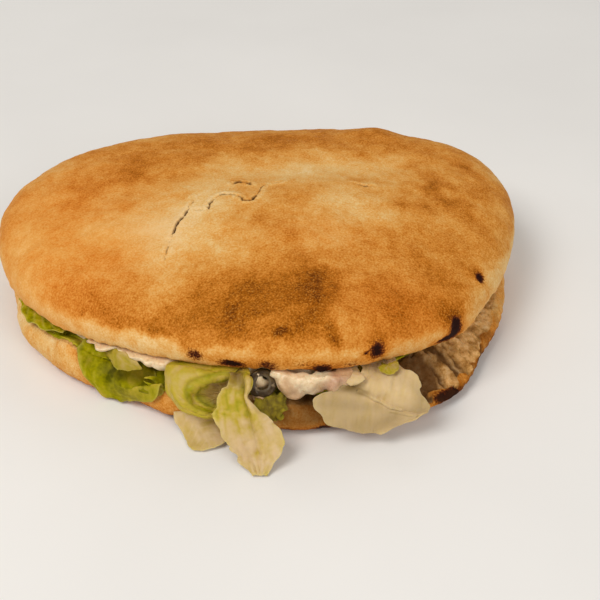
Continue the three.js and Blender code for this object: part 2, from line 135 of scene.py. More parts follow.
def spots_at(spots, px, py):
    """A sum of soft bumps, each [x, y, half size along, half size across, its turn if any, how much]."""
    total = 0 * px
    for x, y, along, across, *turn, much in spots:
        u, v = turned(px - x, py - y, -sum(turn))
        total = total + much * bell(u / along) * bell(v / across)
    return total


def round_at(radius, angle):
    return radius * np.cos(np.radians(angle)), radius * np.sin(np.radians(angle))


def radius_of(half, angle):
    turn = np.radians(angle)
    across = np.abs(np.cos(turn) / (WIDTH / 2)) ** OUTLINE_POWER
    along = np.abs(np.sin(turn) / (DEPTH / 2)) ** OUTLINE_POWER
    swell = OUTLINE_SIZE + waves_at(OUTLINE_WAVES, angle) + arcs_at(half["bulges"], angle)
    return swell * (across + along) ** (-1 / OUTLINE_POWER)


def plan_of(half, x, y):
    """The plan angle of a place, and its distance out as a share of the radius there."""
    angle = np.degrees(np.arctan2(y - half["shift"], x))
    return angle, np.hypot(x, y - half["shift"]) / radius_of(half, angle)


def place_at(half, angle, share):
    """The place in plan at an angle and a share of the radius."""
    x, y = round_at(share * radius_of(half, angle), angle)
    return x, y + half["shift"]


def smooth_line(points, count):
    """Points on a Catmull-Rom line through the points given, evenly spaced by their first three numbers."""
    points = np.asarray(points, float)
    last = len(points) - 1
    at = np.linspace(0, last, 40 * last + 1)
    i = np.minimum(at.astype(int), last - 1)
    t = (at - i)[:, None]
    before, start = points[np.maximum(i - 1, 0)], points[i]
    end, after = points[i + 1], points[np.minimum(i + 2, last)]
    slope_in, slope_out = (end - before) / 2, (after - start) / 2
    cubic = (2 * start - 2 * end + slope_in + slope_out) * t**3
    square = (-3 * start + 3 * end - 2 * slope_in - slope_out) * t**2
    line = cubic + square + slope_in * t + start
    length = np.concatenate([[0], np.cumsum(np.linalg.norm(np.diff(line[:, :3], axis=0), axis=1))])
    wanted = np.linspace(0, length[-1], count)
    return np.stack([np.interp(wanted, length, line[:, k]) for k in range(line.shape[1])], 1)


def smooth_profile(pairs, count):
    half = np.array([WIDTH / 2, 1])
    return smooth_line(np.asarray(pairs, float) * half, count) / half


LOWER_TOP = smooth_profile(LOWER_DISH, 60)
LOWER_EDGE = smooth_profile(LOWER_SIDE, 40)
UPPER_UNDER = smooth_profile(UPPER_INSIDE, 40)
UPPER_TOP = smooth_profile(UPPER_CRUST, 120)


def height_of(profile, share):
    return np.interp(share, profile[:, 0], profile[:, 1])


def lower_height(share, height, angle):
    top_share = height / BOTTOM_RIM
    drop = TORN["drop"] * ramp_up(TORN["drop_from"], TORN["drop_to"], share) * top_share
    rise = TORN["rise"] * bell((share - TORN["ridge"]) / TORN["ridge_spread"])
    torn = soft_angle(angle, TORN["angle"], TORN["spread"]) * (np.minimum(height, rise) - drop)
    lip = LOWER_LIP["rise"] * soft_angle(angle, LOWER_LIP["angle"], LOWER_LIP["spread"])
    return height + torn + lip * ramp_up(LOWER_LIP["rise_from"], LOWER_LIP["rise_to"], share) * top_share


def lower_top(x, y):
    angle, share = plan_of(LOWER, x, y)
    return lower_height(np.minimum(share, RIM_SHARE), height_of(LOWER_TOP, share), angle)


def lower_place(x, y, share, height, angle):
    return x, y, lower_height(share, height, angle) + 0 * x


def backness(y):
    return 0.5 + 0.5 * np.sin(math.pi / 2 * np.clip(2 * y / DEPTH, -1, 1))


def upper_lift(x, y):
    gap = SIDE_GAP + (MOUTH_GAP - SIDE_GAP) * bell((x - MOUTH_AT) / MOUTH_SPREAD)
    return BOTTOM_RIM + BACK_GAP + (1 - backness(y)) * gap


def upper_stretch(y):
    return 1 + BACK_SWELL * backness(y)


def upper_under(x, y):
    return upper_lift(x, y) + height_of(UPPER_UNDER, plan_of(UPPER, x, y)[1]) * upper_stretch(y)


def upper_place(x, y, share, height, angle):
    swell = ramp_up(CRUST_STARTS, CRUST_FULL, height) * spots_at(SWELLS, x, y)
    return x, y, upper_lift(x, y) + height * upper_stretch(y) + swell


# The filling's outline, as a share of the lower bread's, with its waves and its bulges in plan.
FILLING_FRONT = 0.95
FILLING_BACK = 0.76
FILLING_WAVES = [(9, 0.01, 3), (14, 0.007, 11)]
FILLING_BULGES = [(26, -95, 24, 25, -0.015), (5, -96, 9, 12, -0.05), (82, -72, 34, 28, -0.16)]
BED_SHARE = 0.28
BED_OVERLAP = 0.3


def bed_top(x, y):
    return lower_top(x, y) * (1 - BED_SHARE) + upper_under(x, y) * BED_SHARE


def filling_plan(x, y, angle):
    """A place in the lower bread's plan, drawn in to the same place in the filling's."""
    size = FILLING_FRONT + (FILLING_BACK - FILLING_FRONT) * backness(y)
    size = size + waves_at(FILLING_WAVES, angle) + spots_at(FILLING_BULGES, x, y)
    return x * size, (y - LOWER["shift"]) * size + LOWER["shift"]


def filling_edge(angle, share):
    return filling_plan(*place_at(LOWER, angle, share), angle)


# ---------------------------------------------------------------- mesh helpers

def fractal(points, size, octaves=3, seed=0):
    """Smooth noise about 0, with features of the given size."""
    shift = Vector((seed * 17.3, seed * -9.1, seed * 5.7))
    return np.array([noise.fractal(Vector(p) + shift, 1.0, 2.0, octaves) for p in points / size])


def layered(points, *layers):
    """A sum of smooth noises, each [how much, size, octaves, seed]."""
    return sum(much * fractal(points, *layer) for much, *layer in layers)


def ridged(points, size, octaves, seed):
    """Noise with sharp crests, from about 0 to 1."""
    return 1 - np.minimum(1, 2.2 * np.abs(fractal(points, size, octaves, seed)))


def quads(rows, columns, wrap_columns=False, wrap_rows=False):
    """The faces of a grid of points, held row by row, which may close on itself either way."""
    i, j = np.indices((rows - (not wrap_rows), columns - (not wrap_columns)))
    here, below, beside = i * columns, (i + 1) % rows * columns, (j + 1) % columns
    return np.stack([here + j, here + beside, below + beside, below + j], -1).reshape(-1, 4)


def ring_body(half, profile, place, around):
    """A closed body: rings of the profile, each placed in height, between two middle points."""
    angle = (np.arange(around) + 0.5) * 360 / around
    rows = []
    for share, height in profile[1:-1]:
        x, y = place_at(half, angle, share)
        rows.append(np.stack(place(x, y, share, height, angle), 1))
    zero = np.zeros(1)
    first, last = (np.stack(place(zero, zero + half["shift"], 0.0, profile[k][1], zero), 1) for k in (0, -1))
    points = np.concatenate([first, *rows, last])
    faces = (quads(len(rows), around, wrap_columns=True) + 1).tolist()
    top = 1 + (len(rows) - 1) * around
    for i in range(around):
        after = (i + 1) % around
        faces += [(0, 1 + after, 1 + i), (top + i, top + after, len(points) - 1)]
    return points, faces


def thick_sheet(grid, normals, thickness, closed=False):
    """A closed thin body round a grid of points, whose rows may each close on themselves."""
    rows, columns = grid.shape[:2]
    offset = normals * thickness / 2
    points = np.concatenate([(grid + offset).reshape(-1, 3), (grid - offset).reshape(-1, 3)])
    other = rows * columns
    front = quads(rows, columns, closed)
    faces = front.tolist() + (front[:, [0, 3, 2, 1]] + other).tolist()
    index = np.arange(other).reshape(rows, columns)
    if closed:
        borders = [index[0], index[-1, ::-1]]
    else:
        borders = [np.concatenate([index[0], index[1:, -1], index[-1, -2::-1], index[-2:0:-1, 0]])]
    for border in borders:
        after = np.roll(border, -1)
        faces += np.stack([after, border, other + border, other + after], 1).tolist()
    return points, faces


def joined(parts):
    """Several (points, faces) as one."""
    points, faces, start = [], [], 0
    for these, those in parts:
        points.append(these)
        faces.extend([i + start for i in face] for face in those)
        start += len(these)
    return np.concatenate(points), faces


def mesh_of(name, points, faces):
    mesh = bpy.data.meshes.new(name)
    mesh.from_pydata((np.asarray(points) * MM).tolist(), [], faces)
    mesh.update()
    return mesh


def object_of(name, data):
    obj = bpy.data.objects.new(name, data)
    bpy.context.scene.collection.objects.link(obj)
    return obj


def reshape(obj, kind, **settings):
    """Gives an object the mesh that a modifier makes of it."""
    modifier = obj.modifiers.new("reshape", kind)
    for key, value in settings.items():
        setattr(modifier, key, value)
    made = bpy.data.meshes.new_from_object(obj.evaluated_get(bpy.context.evaluated_depsgraph_get()))
    obj.modifiers.clear()
    obj.data = made


def even_object(name, body, voxel, repeats):
    """An object of the (points, faces) given, as an even mesh of small faces, smoothed a few times over."""
    obj = object_of(name, mesh_of(name, *body))
    reshape(obj, "REMESH", mode="VOXEL", voxel_size=voxel * MM)
    reshape(obj, "SMOOTH", iterations=repeats, factor=0.5)
    return obj


def refine_near(obj, wanted, cuts):
    """Splits the edges whose middles are wanted, so that fine detail has points to stand on."""
    work = bmesh.new()
    work.from_mesh(obj.data)
    work.edges.ensure_lookup_table()
    middles = np.array([(e.verts[0].co + e.verts[1].co) / 2 for e in work.edges]) / MM
    chosen = [work.edges[i] for i in np.nonzero(wanted(middles))[0]]
    bmesh.ops.subdivide_edges(work, edges=chosen, cuts=cuts, use_grid_fill=True)
    bmesh.ops.triangulate(work, faces=[f for f in work.faces if len(f.verts) > 4])
    work.to_mesh(obj.data)
    work.free()


def surface_of(obj):
    """The points of an object's mesh, and the normals there."""
    both = []
    for key in ("co", "normal"):
        flat = np.empty(len(obj.data.vertices) * 3)
        obj.data.vertices.foreach_get(key, flat)
        both.append(flat.reshape(-1, 3))
    return both[0] / MM, both[1]


def move_to(obj, points):
    obj.data.vertices.foreach_set("co", (points * MM).ravel())
    obj.data.update()


def paint(obj, **layers):
    """Gives each point of a mesh its values from 0 to 1, for the materials to read."""
    for name, values in layers.items():
        layer = obj.data.attributes.new(name, "FLOAT", "POINT")
        layer.data.foreach_set("value", np.clip(values, 0, 1).astype(np.float32))


def finish_piece(obj, material, slot, *nodes):
    obj.data.materials.clear()
    obj.data.materials.append(material)
    obj.data.shade_smooth()
    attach(obj, "root")
    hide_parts(*nodes)


# ---------------------------------------------------------------- material helpers

def colour(red, green, blue):
    """An sRGB colour, 0 to 255, as Blender's linear RGBA."""
    def linear(value):
        value /= 255
        return value / 12.92 if value <= 0.04045 else ((value + 0.055) / 1.055) ** 2.4
    return (linear(red), linear(green), linear(blue), 1.0)


class Shader:
    """A material with a Principled shader, and short ways to add what feeds it."""

    def __init__(self, name):
        self.material = bpy.data.materials.new(name)
        self.material.use_nodes = True
        self.tree = self.material.node_tree
        self.surface = self.tree.nodes["Principled BSDF"]
        self.place = self.add("ShaderNodeTexCoord").outputs["Object"]

    def add(self, kind, inputs=None, **settings):
        node = self.tree.nodes.new(kind)
        for key, value in settings.items():
            setattr(node, key, value)
        for key, value in (inputs or {}).items():
            self.feed(node.inputs[key], value)
        return node

    def feed(self, socket, value):
        if isinstance(value, bpy.types.NodeSocket):
            self.tree.links.new(value, socket)
        else:
            socket.default_value = value

    def set(self, **values):
        for key, value in values.items():
            self.feed(self.surface.inputs[key.replace("_", " ")], value)

    def attribute(self, name):
        return self.add("ShaderNodeAttribute", attribute_name=name).outputs["Fac"]

    def noise(self, size, detail=2.0, rough=0.5):
        """Noise from 0 to 1, with features of the given size in mm."""
        values = {"Vector": self.place, "Scale": 1 / (size * MM), "Detail": detail, "Roughness": rough}
        return self.add("ShaderNodeTexNoise", values).outputs["Fac"]

    def math(self, operation, a, b, clamp=False):
        return self.add("ShaderNodeMath", {0: a, 1: b}, operation=operation, use_clamp=clamp).outputs["Value"]

    def spread(self, value, low, high, to_low=0.0, to_high=1.0):
        values = {"Value": value, "From Min": low, "From Max": high, "To Min": to_low, "To Max": to_high}
        return self.add("ShaderNodeMapRange", values, clamp=True).outputs["Result"]

    def ramp(self, value, stops):
        node = self.add("ShaderNodeValToRGB", {"Fac": value})
        elements = node.color_ramp.elements
        while len(elements) < len(stops):
            elements.new(0.5)
        for element, (position, shade) in zip(elements, stops):
            element.position = position
            element.color = colour(*shade)
        return node.outputs["Color"]

    def mix(self, factor, a, b, blend="MIX"):
        """Colour a, with as much of colour b as the factor says."""
        node = self.add("ShaderNodeMix", data_type="RGBA", blend_type=blend)
        for socket, value in zip((0, 6, 7), (factor, a, b)):
            self.feed(node.inputs[socket], value)
        return node.outputs[2]

    def part(self, name, share):
        """A painted value, scaled down to a share of it."""
        return self.math("MULTIPLY", self.attribute(name), share)

    def vary(self, value, grain, much, low=0.25, clamp=False):
        """A value with a noise added, from minus to plus as much as given."""
        return self.math("ADD", value, self.spread(grain, low, 1 - low, -much, much), clamp)

    def bump(self, height, depth, strength=1.0, under=None):
        """A bump of the given depth in mm, on top of another."""
        values = {"Height": height, "Distance": depth * MM, "Strength": strength}
        if under is not None:
            values["Normal"] = under
        return self.add("ShaderNodeBump", values).outputs["Normal"]


# ---------------------------------------------------------------- crust

# How baked the upper crust is at a place: [x, y, half size along, half size across, turn if any, how much].
UPPER_BAKE = [
    # pale places
    (-35, -22, 34, 26, 20, -0.3), (-20, 22, 30, 14, 10, -0.12), (25, 32, 45, 12, 4, -0.2),
    (42, -8, 20, 13, -10, -0.2), (-62, -12, 22, 18, -0.09), (28, -36, 12, 10, -0.04),
    (93, -10, 9, 7, -40, -0.16), (-105, 35, 14, 22, 10, -0.12), (-93, -12, 20, 14, -0.2),
    (-98, -36, 14, 12, -0.14), (-115, -20, 6, 14, -0.12), (-62, 66, 24, 12, 10, -0.12),
    (76, -38, 11, 10, -0.12), (-104, 10, 10, 8, -0.06),
    # the dark front, with its sharp right side
    (6, -72, 34, 20, 6, 0.33), (8, -74, 10, 7, -0.07), (-10, -63, 12, 8, 0.06), (3, -43, 14, 8, 0.06),
    (17, -92, 12, 4, 0.08), (-100, -20, 16, 22, -0.05), (-80, -58, 16, 8, -30, -0.04),
    (19, -69, 14, 18, 10, 0.12), (-22, -76, 16, 12, -12, 0.06), (-8, -84, 8, 7, 0.1),
    (18, -54, 11, 10, 0.07), (26, -62, 8, 16, 0.03), (20, -88, 10, 6, 0.14), (8, -78, 18, 8, 0.06),
    (41, -64, 6, 18, -0.1), (28, -66, 6, 14, 0.07), (30, -58, 5, 6, 0.05), (-12, -80, 6, 7, 0.07),
    # the golden right, with its browner places
    (78, -45, 38, 34, 20, 0.17), (75, -30, 8, 11, 20, 0.06), (62, -70, 15, 10, 10, 0.14),
    (84, -66, 11, 7, 35, 0.1), (90, -48, 12, 14, 10, 0.1), (98, 20, 22, 36, 10, 0.14),
    (86, 22, 4.5, 6, -15, 0.26), (88, 8, 6, 3.5, 20, 0.18), (67, -1, 5, 5, 0.22), (79, 0, 5, 4, 0.14),
    (104, 48, 6, 7, 40, 0.26), (76, 41, 4, 3, 0.15), (80, 16, 6, 6, 0.13), (93, -12, 6, 4, 0.06),
    (109, 30, 6, 10, 0.1), (103, -2, 9, 12, 0.07), (46, -77, 8, 8, 0.12), (88, -18, 10, 8, 0.07),
    # the brown band at the back
    (10, 66, 70, 13, 4, 0.2), (-50, 62, 26, 11, 14, 0.16), (-34, 71, 9, 8, 0.1), (-10, 52, 16, 7, 0.14),
    (8, 58, 7, 5, 0.12), (42, 56, 20, 8, 0.08), (70, 64, 20, 12, -25, 0.1), (-62, 34, 32, 13, 24, 0.16),
    (-40, 44, 22, 7, 10, 0.06), (20, 88, 90, 12, 0.1), (-85, 55, 20, 20, 40, 0.08),
    (-38, 25, 14, 7, 6, 0.15), (-56, 27, 12, 6, 10, 0.08), (-18, 23, 12, 5, 0.07),
    # the orange left, with its streaks
    (-95, -14, 12, 8, -30, 0.14), (-104, -28, 5, 9, 25, 0.12), (-80, -40, 7, 9, 0.15),
    (-66, -36, 10, 7, 10, 0.12), (-72, -62, 26, 8, -30, 0.14), (-48, -76, 22, 8, -22, 0.18),
    (-52, -52, 14, 9, 0.1), (-97, 29, 8, 8, 0.16), (-91, 9, 9, 5, 0.13), (-62, 2, 5, 6, 0.16),
    (-45, -6, 4, 4, 0.08), (-34, 6, 3, 4, 0.14), (-7, -9, 5, 5, 0.13), (-15, -28, 4, 4, 0.05),
    (12, -2, 14, 14, 0.11), (21, -10, 4, 9, 5, 0.1), (10, -26, 5, 7, 0.1), (15, -33, 4, 10, -15, 0.1),
    (27, -19, 4, 4, 0.06), (-10, 18, 7, 3.5, -12, 0.18), (-62, 31, 4, 5, 0.08), (-1, 40, 4, 3, 0.08),
    (-112, -34, 8, 14, -0.12), (1, -22, 14, 10, 0.13), (-3, -36, 12, 9, 0.09),
    # small spots near the front edge
    (12, -90, 2.4, 2.4, 0.42), (33.5, -91, 2.4, 5, 0.32), (-27, -82, 9, 6, 0.06), (48, -64, 12, 8, 0.08),
    (-43, -81, 2.4, 2.4, 0.22), (-38, -56, 12, 8, -0.05),
]

# Where the upper crust is more golden, in the same form.
UPPER_GOLD = [
    (-105, -15, 44, 64, 1), (60, -70, 30, 20, 0.5), (-62, -30, 26, 28, 0.55), (30, -30, 30, 14, 0.35),
]

# Where the crust is burnt: [x, y, z, half size in x, y and z, how much].
UPPER_CHAR = [
    (-24.5, -89, 36.8, 3.8, 4, 3, 0.72), (-9, -93, 35, 5.6, 4, 2.2, 1.1),
    (6, -95.2, 35.4, 4.5, 5, 3.8, 0.62), (29.3, -94, 34.4, 3.6, 4, 2.4, 1.15),
    (52.6, -88.4, 38.6, 3.4, 4, 4, 0.95), (47.6, -90.3, 38.6, 0.9, 1, 0.8, 0.8),
    (88.4, -66.9, 34.6, 3.2, 3.6, 5.6, 1.2), (83.5, -69.9, 30.4, 5.4, 4, 1.7, 1.1),
    (101.8, -38.7, 41.4, 2.4, 2.8, 2.8, 1.05), (22, -95, 37, 4.5, 5, 3, 0.3),
    (42, -93, 34.5, 5, 4, 1.8, 0.4), (-76, -63, 39.5, 1, 1.2, 0.9, 0.45), (112, 20, 26, 5, 5, 2, 0.6),
    (60, 92, 28, 6, 5, 2.5, 0.7), (-40, 88, 27, 5, 5, 2, 0.6), (-112, 12, 25, 3, 4, 2, 0.5),
]
LOWER_CHAR = [
    (83, -80.6, 6.2, 5.4, 4, 2, 1), (88.6, -77, 5.4, 3.2, 4, 3, 1.15), (30.2, -99, 4.2, 4.8, 5, 1.8, 1.1),
    (14, -100, 4, 5, 5, 2, 0.4), (42, -99, 3, 4, 5, 1.2, 0.5), (74, -79, 14.5, 2.6, 2.6, 1.4, 1),
    (-30, -91, 3, 8, 6, 2, 0.3), (60, 80, 4, 8, 6, 3, 0.5), (-60, 70, 5, 9, 7, 3, 0.5),
    (-115, 0, 4, 5, 9, 2, 0.4), (110, 30, 5, 5, 9, 3, 0.5),
]
# Where the burnt edge hangs down a little: [x, y, z, half size, how far].
UPPER_DROP = (29.3, -93.5, 33.5, 3.2, 1.8)

# Cracks in the upper crust: [points in plan, half width, depth, which side's lip is up and by how much].
CRACKS = [
    ([(-41, -45), (-40, -37.5), (-38.8, -30), (-38.6, -26)], 0.28, 0.6, 0.2),
    ([(-38.8, -28), (-37.8, -23.4), (-36.6, -18.6), (-34.6, -14.6), (-33.6, -11.2),
     (-32.2, -7.8)], 0.42, 1.6, 0.5),
    ([(-32.2, -7.8), (-32.4, -5.6), (-31, -2.4), (-31.2, 2)], 0.3, 0.9, 0.3),
    ([(-30.2, -9), (-27.4, -9.6), (-24.9, -10.7), (-23.2, -10.2)], 0.34, 1.3, 0.3),
    ([(-23.2, -10.2), (-22.9, -7.6), (-22.8, -5.4), (-21.4, -2.4), (-19.8, 0.9)], 0.45, 1.6, 0.6),
    ([(-19.8, 0.9), (-18, 2.6), (-15.4, 3.4), (-12.4, 2.2), (-9.6, 0.6)], 0.4, 1.7, 0.5),
    ([(-9.6, 0.6), (-7.8, -1.4), (-7, -4), (-4.6, -4.6), (-2.6, -3.4), (-0.8, 0.9)], 0.62, 2.2, -0.6),
    ([(-0.8, 0.9), (0.2, 4), (0.8, 7.6), (2.8, 12.6)], 0.34, 1.3, -0.6),
    ([(2.8, 12.6), (6.6, 14), (11, 15.4)], 0.3, 0.6, -0.4),
    ([(45.6, 15.8), (48.8, 15), (51, 13.8), (55.4, 15.2)], 0.4, 1.5, 0.35),
    ([(-12.8, 15.4), (-10.2, 17), (-7.2, 17), (-3.6, 13.4)], 1, 1.5, 0.5),
]
CRACK_REACH = 3.2  # how far from a crack the mesh is made finer

CRUST_RAMP = [
    (0, (236, 204, 150)), (0.18, (229, 186, 118)), (0.34, (223, 165, 88)), (0.48, (213, 144, 62)),
    (0.62, (195, 119, 38)), (0.76, (164, 94, 14)), (0.88, (134, 72, 5)), (1, (102, 50, 2)),
]
CRUMB_RAMP = [(0.28, (140, 92, 36)), (0.42, (188, 138, 74)), (0.55, (222, 172, 108)), (0.72, (248, 210, 156))]


def near_lines(points, line):
    """For each point, its distance in plan to a line, and the side that it lies on."""
    best, side = np.full(len(points), 1e9), np.zeros(len(points))
    for (ax, ay), (bx, by) in zip(line, line[1:]):
        dx, dy = bx - ax, by - ay
        px, py = points[:, 0] - ax, points[:, 1] - ay
        along = np.clip((px * dx + py * dy) / math.hypot(dx, dy) ** 2, 0, 1)
        ox, oy = px - along * dx, py - along * dy
        away = np.hypot(ox, oy)
        closer = away < best
        best = np.where(closer, away, best)
        side = np.where(closer, np.sign(dx * oy - dy * ox), side)
    return best, side


def crust_relief(points, seed):
    """The gentle ups and downs that every crust has, in mm."""
    return layered(points, (0.9, 34, 2, seed), (0.38, 11, 2, seed + 1), (0.16, 3.4, 2, seed + 2))


def burnt_at(marks, points, sharp, fade):
    """How burnt each point is, and how much the marks brown the crust round them."""
    burnt = browned = 0 * points[:, 0]
    for mark in marks:
        away = (((points - mark[:3]) / mark[3:6]) ** 2).sum(1)
        burnt = burnt + mark[6] * np.exp(-(away**sharp) * 0.8)
        browned = browned + mark[6] * np.exp(-away / fade)
    return burnt, browned


def upper_bake(points, angle, rise):
    """How baked the upper crust is: its spots, and the pale band that runs round its lower edge."""
    x, y, _ = points.T
    wander_x, wander_y = 3 * fractal(points, 9, 3, 21), 3 * fractal(points, 9, 3, 22)
    top = 0.42 + spots_at(UPPER_BAKE, x + wander_x, y + wander_y)
    top = top + layered(points, (0.13, 17, 3, 23), (0.09, 5, 3, 24))
    band = 10.5 + arcs_at([(220, 45, 2), (280, 22, 1.2), (340, 14, 5)], angle)
    band = band + layered(points, (2.2, 10, 3, 25), (1.2, 3, 2, 26))
    pale = 1 - smooth_step(-2.5, 2.5, rise - band)
    side = 0.19 + arcs_at([(284, 26, 0.15), (332, 16, 0.12)], angle) + 0.16 * fractal(points, 7, 3, 27)
    side = side + 0.12 * (1 - smooth_step(1, 4, rise)) * soft_angle(angle, 278, 40)
    return top * (1 - pale) + side * pale


def cracks_at(points):
    """How deep the cracks are at each point, and how far a lip beside them stands up."""
    x, y, _ = points.T
    jitter = np.stack([0.5 * fractal(points, 2.2, 2, 31), 0.5 * fractal(points, 2.2, 2, 32), 0 * x], 1)
    gaps = 0.55 + 0.55 * smooth_step(-0.35, 0.1, fractal(points, 4.5, 2, 34))
    crack = lip = 0 * x
    for line, width, depth, lift in CRACKS:
        away, hand = near_lines(points + jitter, line)
        ends = np.min([np.hypot(x - end_x, y - end_y) for end_x, end_y in (line[0], line[-1])], 0)
        taper = (0.45 + 0.55 * smooth_step(0, 3, ends)) * gaps
        crack = np.maximum(crack, depth * taper * bell(away / (width * taper)))
        raised = np.where(hand * lift > 0, abs(lift), 0.15)
        lip = np.maximum(lip, raised * taper * bell((away - 1.6) / 1.3))
    return crack, lip


def upper_bread():
    profile = np.concatenate([UPPER_UNDER, UPPER_TOP[1:]])
    body = ring_body(UPPER, profile, upper_place, around=300)
    obj = even_object("crust_top", body, voxel=1.16, repeats=2)

    def by_crack(places):
        near = [near_lines(places, line)[0] < CRACK_REACH for line, *_ in CRACKS]
        return np.any(near, 0) & (places[:, 2] > 40)

    refine_near(obj, by_crack, cuts=2)
    points, normals = surface_of(obj)
    x, y, z = points.T
    angle, share = plan_of(UPPER, x, y)
    rise = (z - upper_lift(x, y)) / upper_stretch(y)
    cut = (1 - smooth_step(0.3, 1.3, rise - height_of(UPPER_UNDER, share))) * (share < RIM_SHARE + 0.01)
    burnt, browned = burnt_at(UPPER_CHAR, points, sharp=1.4, fade=2.6)
    burnt = burnt + 0.2 * burnt * fractal(points, 2.2, 3, 28)
    toast = upper_bake(points, angle, rise) + 0.42 * browned
    crack, lip = cracks_at(points)
    on_top = smooth_step(38, 44, z)

    moved = crust_relief(points, 3) * (0.35 + 0.65 * smooth_step(4, 12, rise)) + on_top * (lip - crack)
    moved = moved - 0.5 * smooth_step(0.3, 1, burnt) + 0.25 * fractal(points, 6, 3, 33) * cut
    moved = moved + 0.75 * fractal(points, 4.5, 3, 35) * (1 - smooth_step(2, 7, rise)) * (share > 0.9)
    *middle, size, drop = UPPER_DROP
    near = drop * np.exp(-(((points - middle) / size) ** 2).sum(1))
    move_to(obj, points + normals * moved[:, None] - near[:, None] * [0, 0.5, 1])

    toast = toast - 0.14 * smooth_step(0, 0.4, lip) * on_top
    gold = spots_at(UPPER_GOLD, x, y)
    # painted shade: the cracks are darkened as well as cut in
    paint(obj, toast=toast, char=burnt, crack=crack * on_top, crumb=cut, gold=gold)
    return obj


def lower_bake(points, angle, torn):
    """How baked the lower crust is: its foot and some of its sides are darker, those under the mouth and
    beside the tear partly as painted shade.
    """
    z = points[:, 2]
    toast = 0.3 + layered(points, (0.18, 16, 3, 41), (0.12, 5, 3, 42))
    toast = toast + 0.07 * fractal(points * [1, 1, 0.35], 2.4, 2, 43)
    toast = toast + 0.3 * (1 - smooth_step(1, 7, z)) * (1 - torn) + 0.34 * torn * (1 - smooth_step(2, 9, z))
    # the arcs at 284 and 333 are browner partly as painted shade, where the upper bread shadows the side
    sides = [(220, 25, 0.1), (333, 13, 0.32), (284, 15, 0.2), (200, 12, -0.2), (246, 9, 0.14)]
    return toast + arcs_at(sides, angle)


def lower_painted_shade(points, angle, cut):
    """Painted shade on the lower crust's side: under the mouth, where the upper bread shadows it, and beside
    the tear.
    """
    z = points[:, 2]
    beside = (0.5 + 0.5 * fractal(points, 5, 3, 54)) * soft_angle(angle, 332, 22)
    beside = (beside + 0.45 * soft_angle(angle, 334, 4)) * (1 - cut) * smooth_step(1, 5, z)
    return 0.85 * soft_angle(angle, 284, 15) * smooth_step(2, 10, z) + beside


def lower_bread():
    profile = np.concatenate([[(0, 0), (0.45, 0)], LOWER_EDGE, LOWER_TOP[::-1][1:]])
    body = ring_body(LOWER, profile, lower_place, around=300)
    obj = even_object("crust_bottom", body, voxel=1.12, repeats=2)

    def by_tear(places):
        angle, share = plan_of(LOWER, places[:, 0], places[:, 1])
        return (np.abs(degrees_from(angle, 322)) < 30) & (share > 0.78) & (places[:, 2] > 3)

    refine_near(obj, by_tear, cuts=1)
    points, normals = surface_of(obj)
    x, y, z = points.T
    angle, share = plan_of(LOWER, x, y)
    torn = soft_angle(angle, TORN["angle"] + 8, TORN["spread"] + 2)
    cut = smooth_step(-1.4, -0.3, z - lower_top(x, y)) * (share < RIM_SHARE + 0.012)
    ragged = z - lower_height(RIM_SHARE, BOTTOM_RIM, angle) + 3.4 * fractal(points, 8, 3, 53)
    cut = np.maximum(cut, torn * smooth_step(-3.4, -1.6, ragged) * smooth_step(0.86, 0.9, share))
    burnt, browned = burnt_at(LOWER_CHAR, points, sharp=1.3, fade=3.0)

    toast = lower_bake(points, angle, torn) + 0.28 * browned
    burnt = burnt * (1 + 0.35 * fractal(points, 2.4, 3, 44))

    # the crust is wrinkled, the crumb has pores, and the torn crumb has long tears and pits
    wrinkles = 0.42 * ridged(points * [1, 1, 0.45], 7, 2, 45) * smooth_step(1, 5, z) * (1 - cut)
    relief = crust_relief(points, 6) * (1 - 0.5 * cut) * smooth_step(0, 3, z) + wrinkles
    crumb = 0.35 * fractal(points, 5, 3, 46) - 0.45 * smooth_step(0.25, 0.6, fractal(points, 3, 2, 47))
    along_tear = np.stack([np.radians(angle) * 105, share * 34, 0.3 * z], 1)  # stretched out along the rim
    tears = 1.9 * ridged(along_tear, 9, 3, 48) - 0.8 + 1.1 * fractal(points, 4, 3, 49)
    pits = smooth_step(-0.05, 0.45, fractal(along_tear, 5, 3, 50))
    tear = torn * smooth_step(0.72, 0.82, share) * smooth_step(2, 6, z)
    moved = relief + cut * (crumb * (1 - tear) + tear * (tears - 1.1 * pits))
    placed = points + normals * moved[:, None]
    tuft = np.maximum(0, fractal(points * [1, 1, 0], 3.6, 3, 51) + 0.1)
    tuft = tear * smooth_step(0.07, 0, np.abs(share - 0.845)) * tuft
    gap = spots_at([(73, -76, 9, 8, 1)], x, y) * cut
    placed[:, 2] += 2.4 * tuft * cut - 2.2 * gap
    placed[:, 2] = np.maximum(placed[:, 2], 0.02)
    move_to(obj, placed)

    # painted shade on the torn crumb, varied by noise, and more in its pits and in the dent by the leaf
    torn_shade = 0.4 + 0.5 * fractal(along_tear, 14, 3, 52)
    torn_shade = torn_shade + arcs_at([(341, 13, -0.62), (319, 2.5, -0.35), (324.5, 2.5, 0.4)], angle)
    crack = (0.6 * pits + torn_shade) * tear * cut + 1.6 * gap + lower_painted_shade(points, angle, cut)
    paint(obj, toast=toast, char=burnt, crack=crack, crumb=cut, gold=0.05 + 0 * x)
    return obj


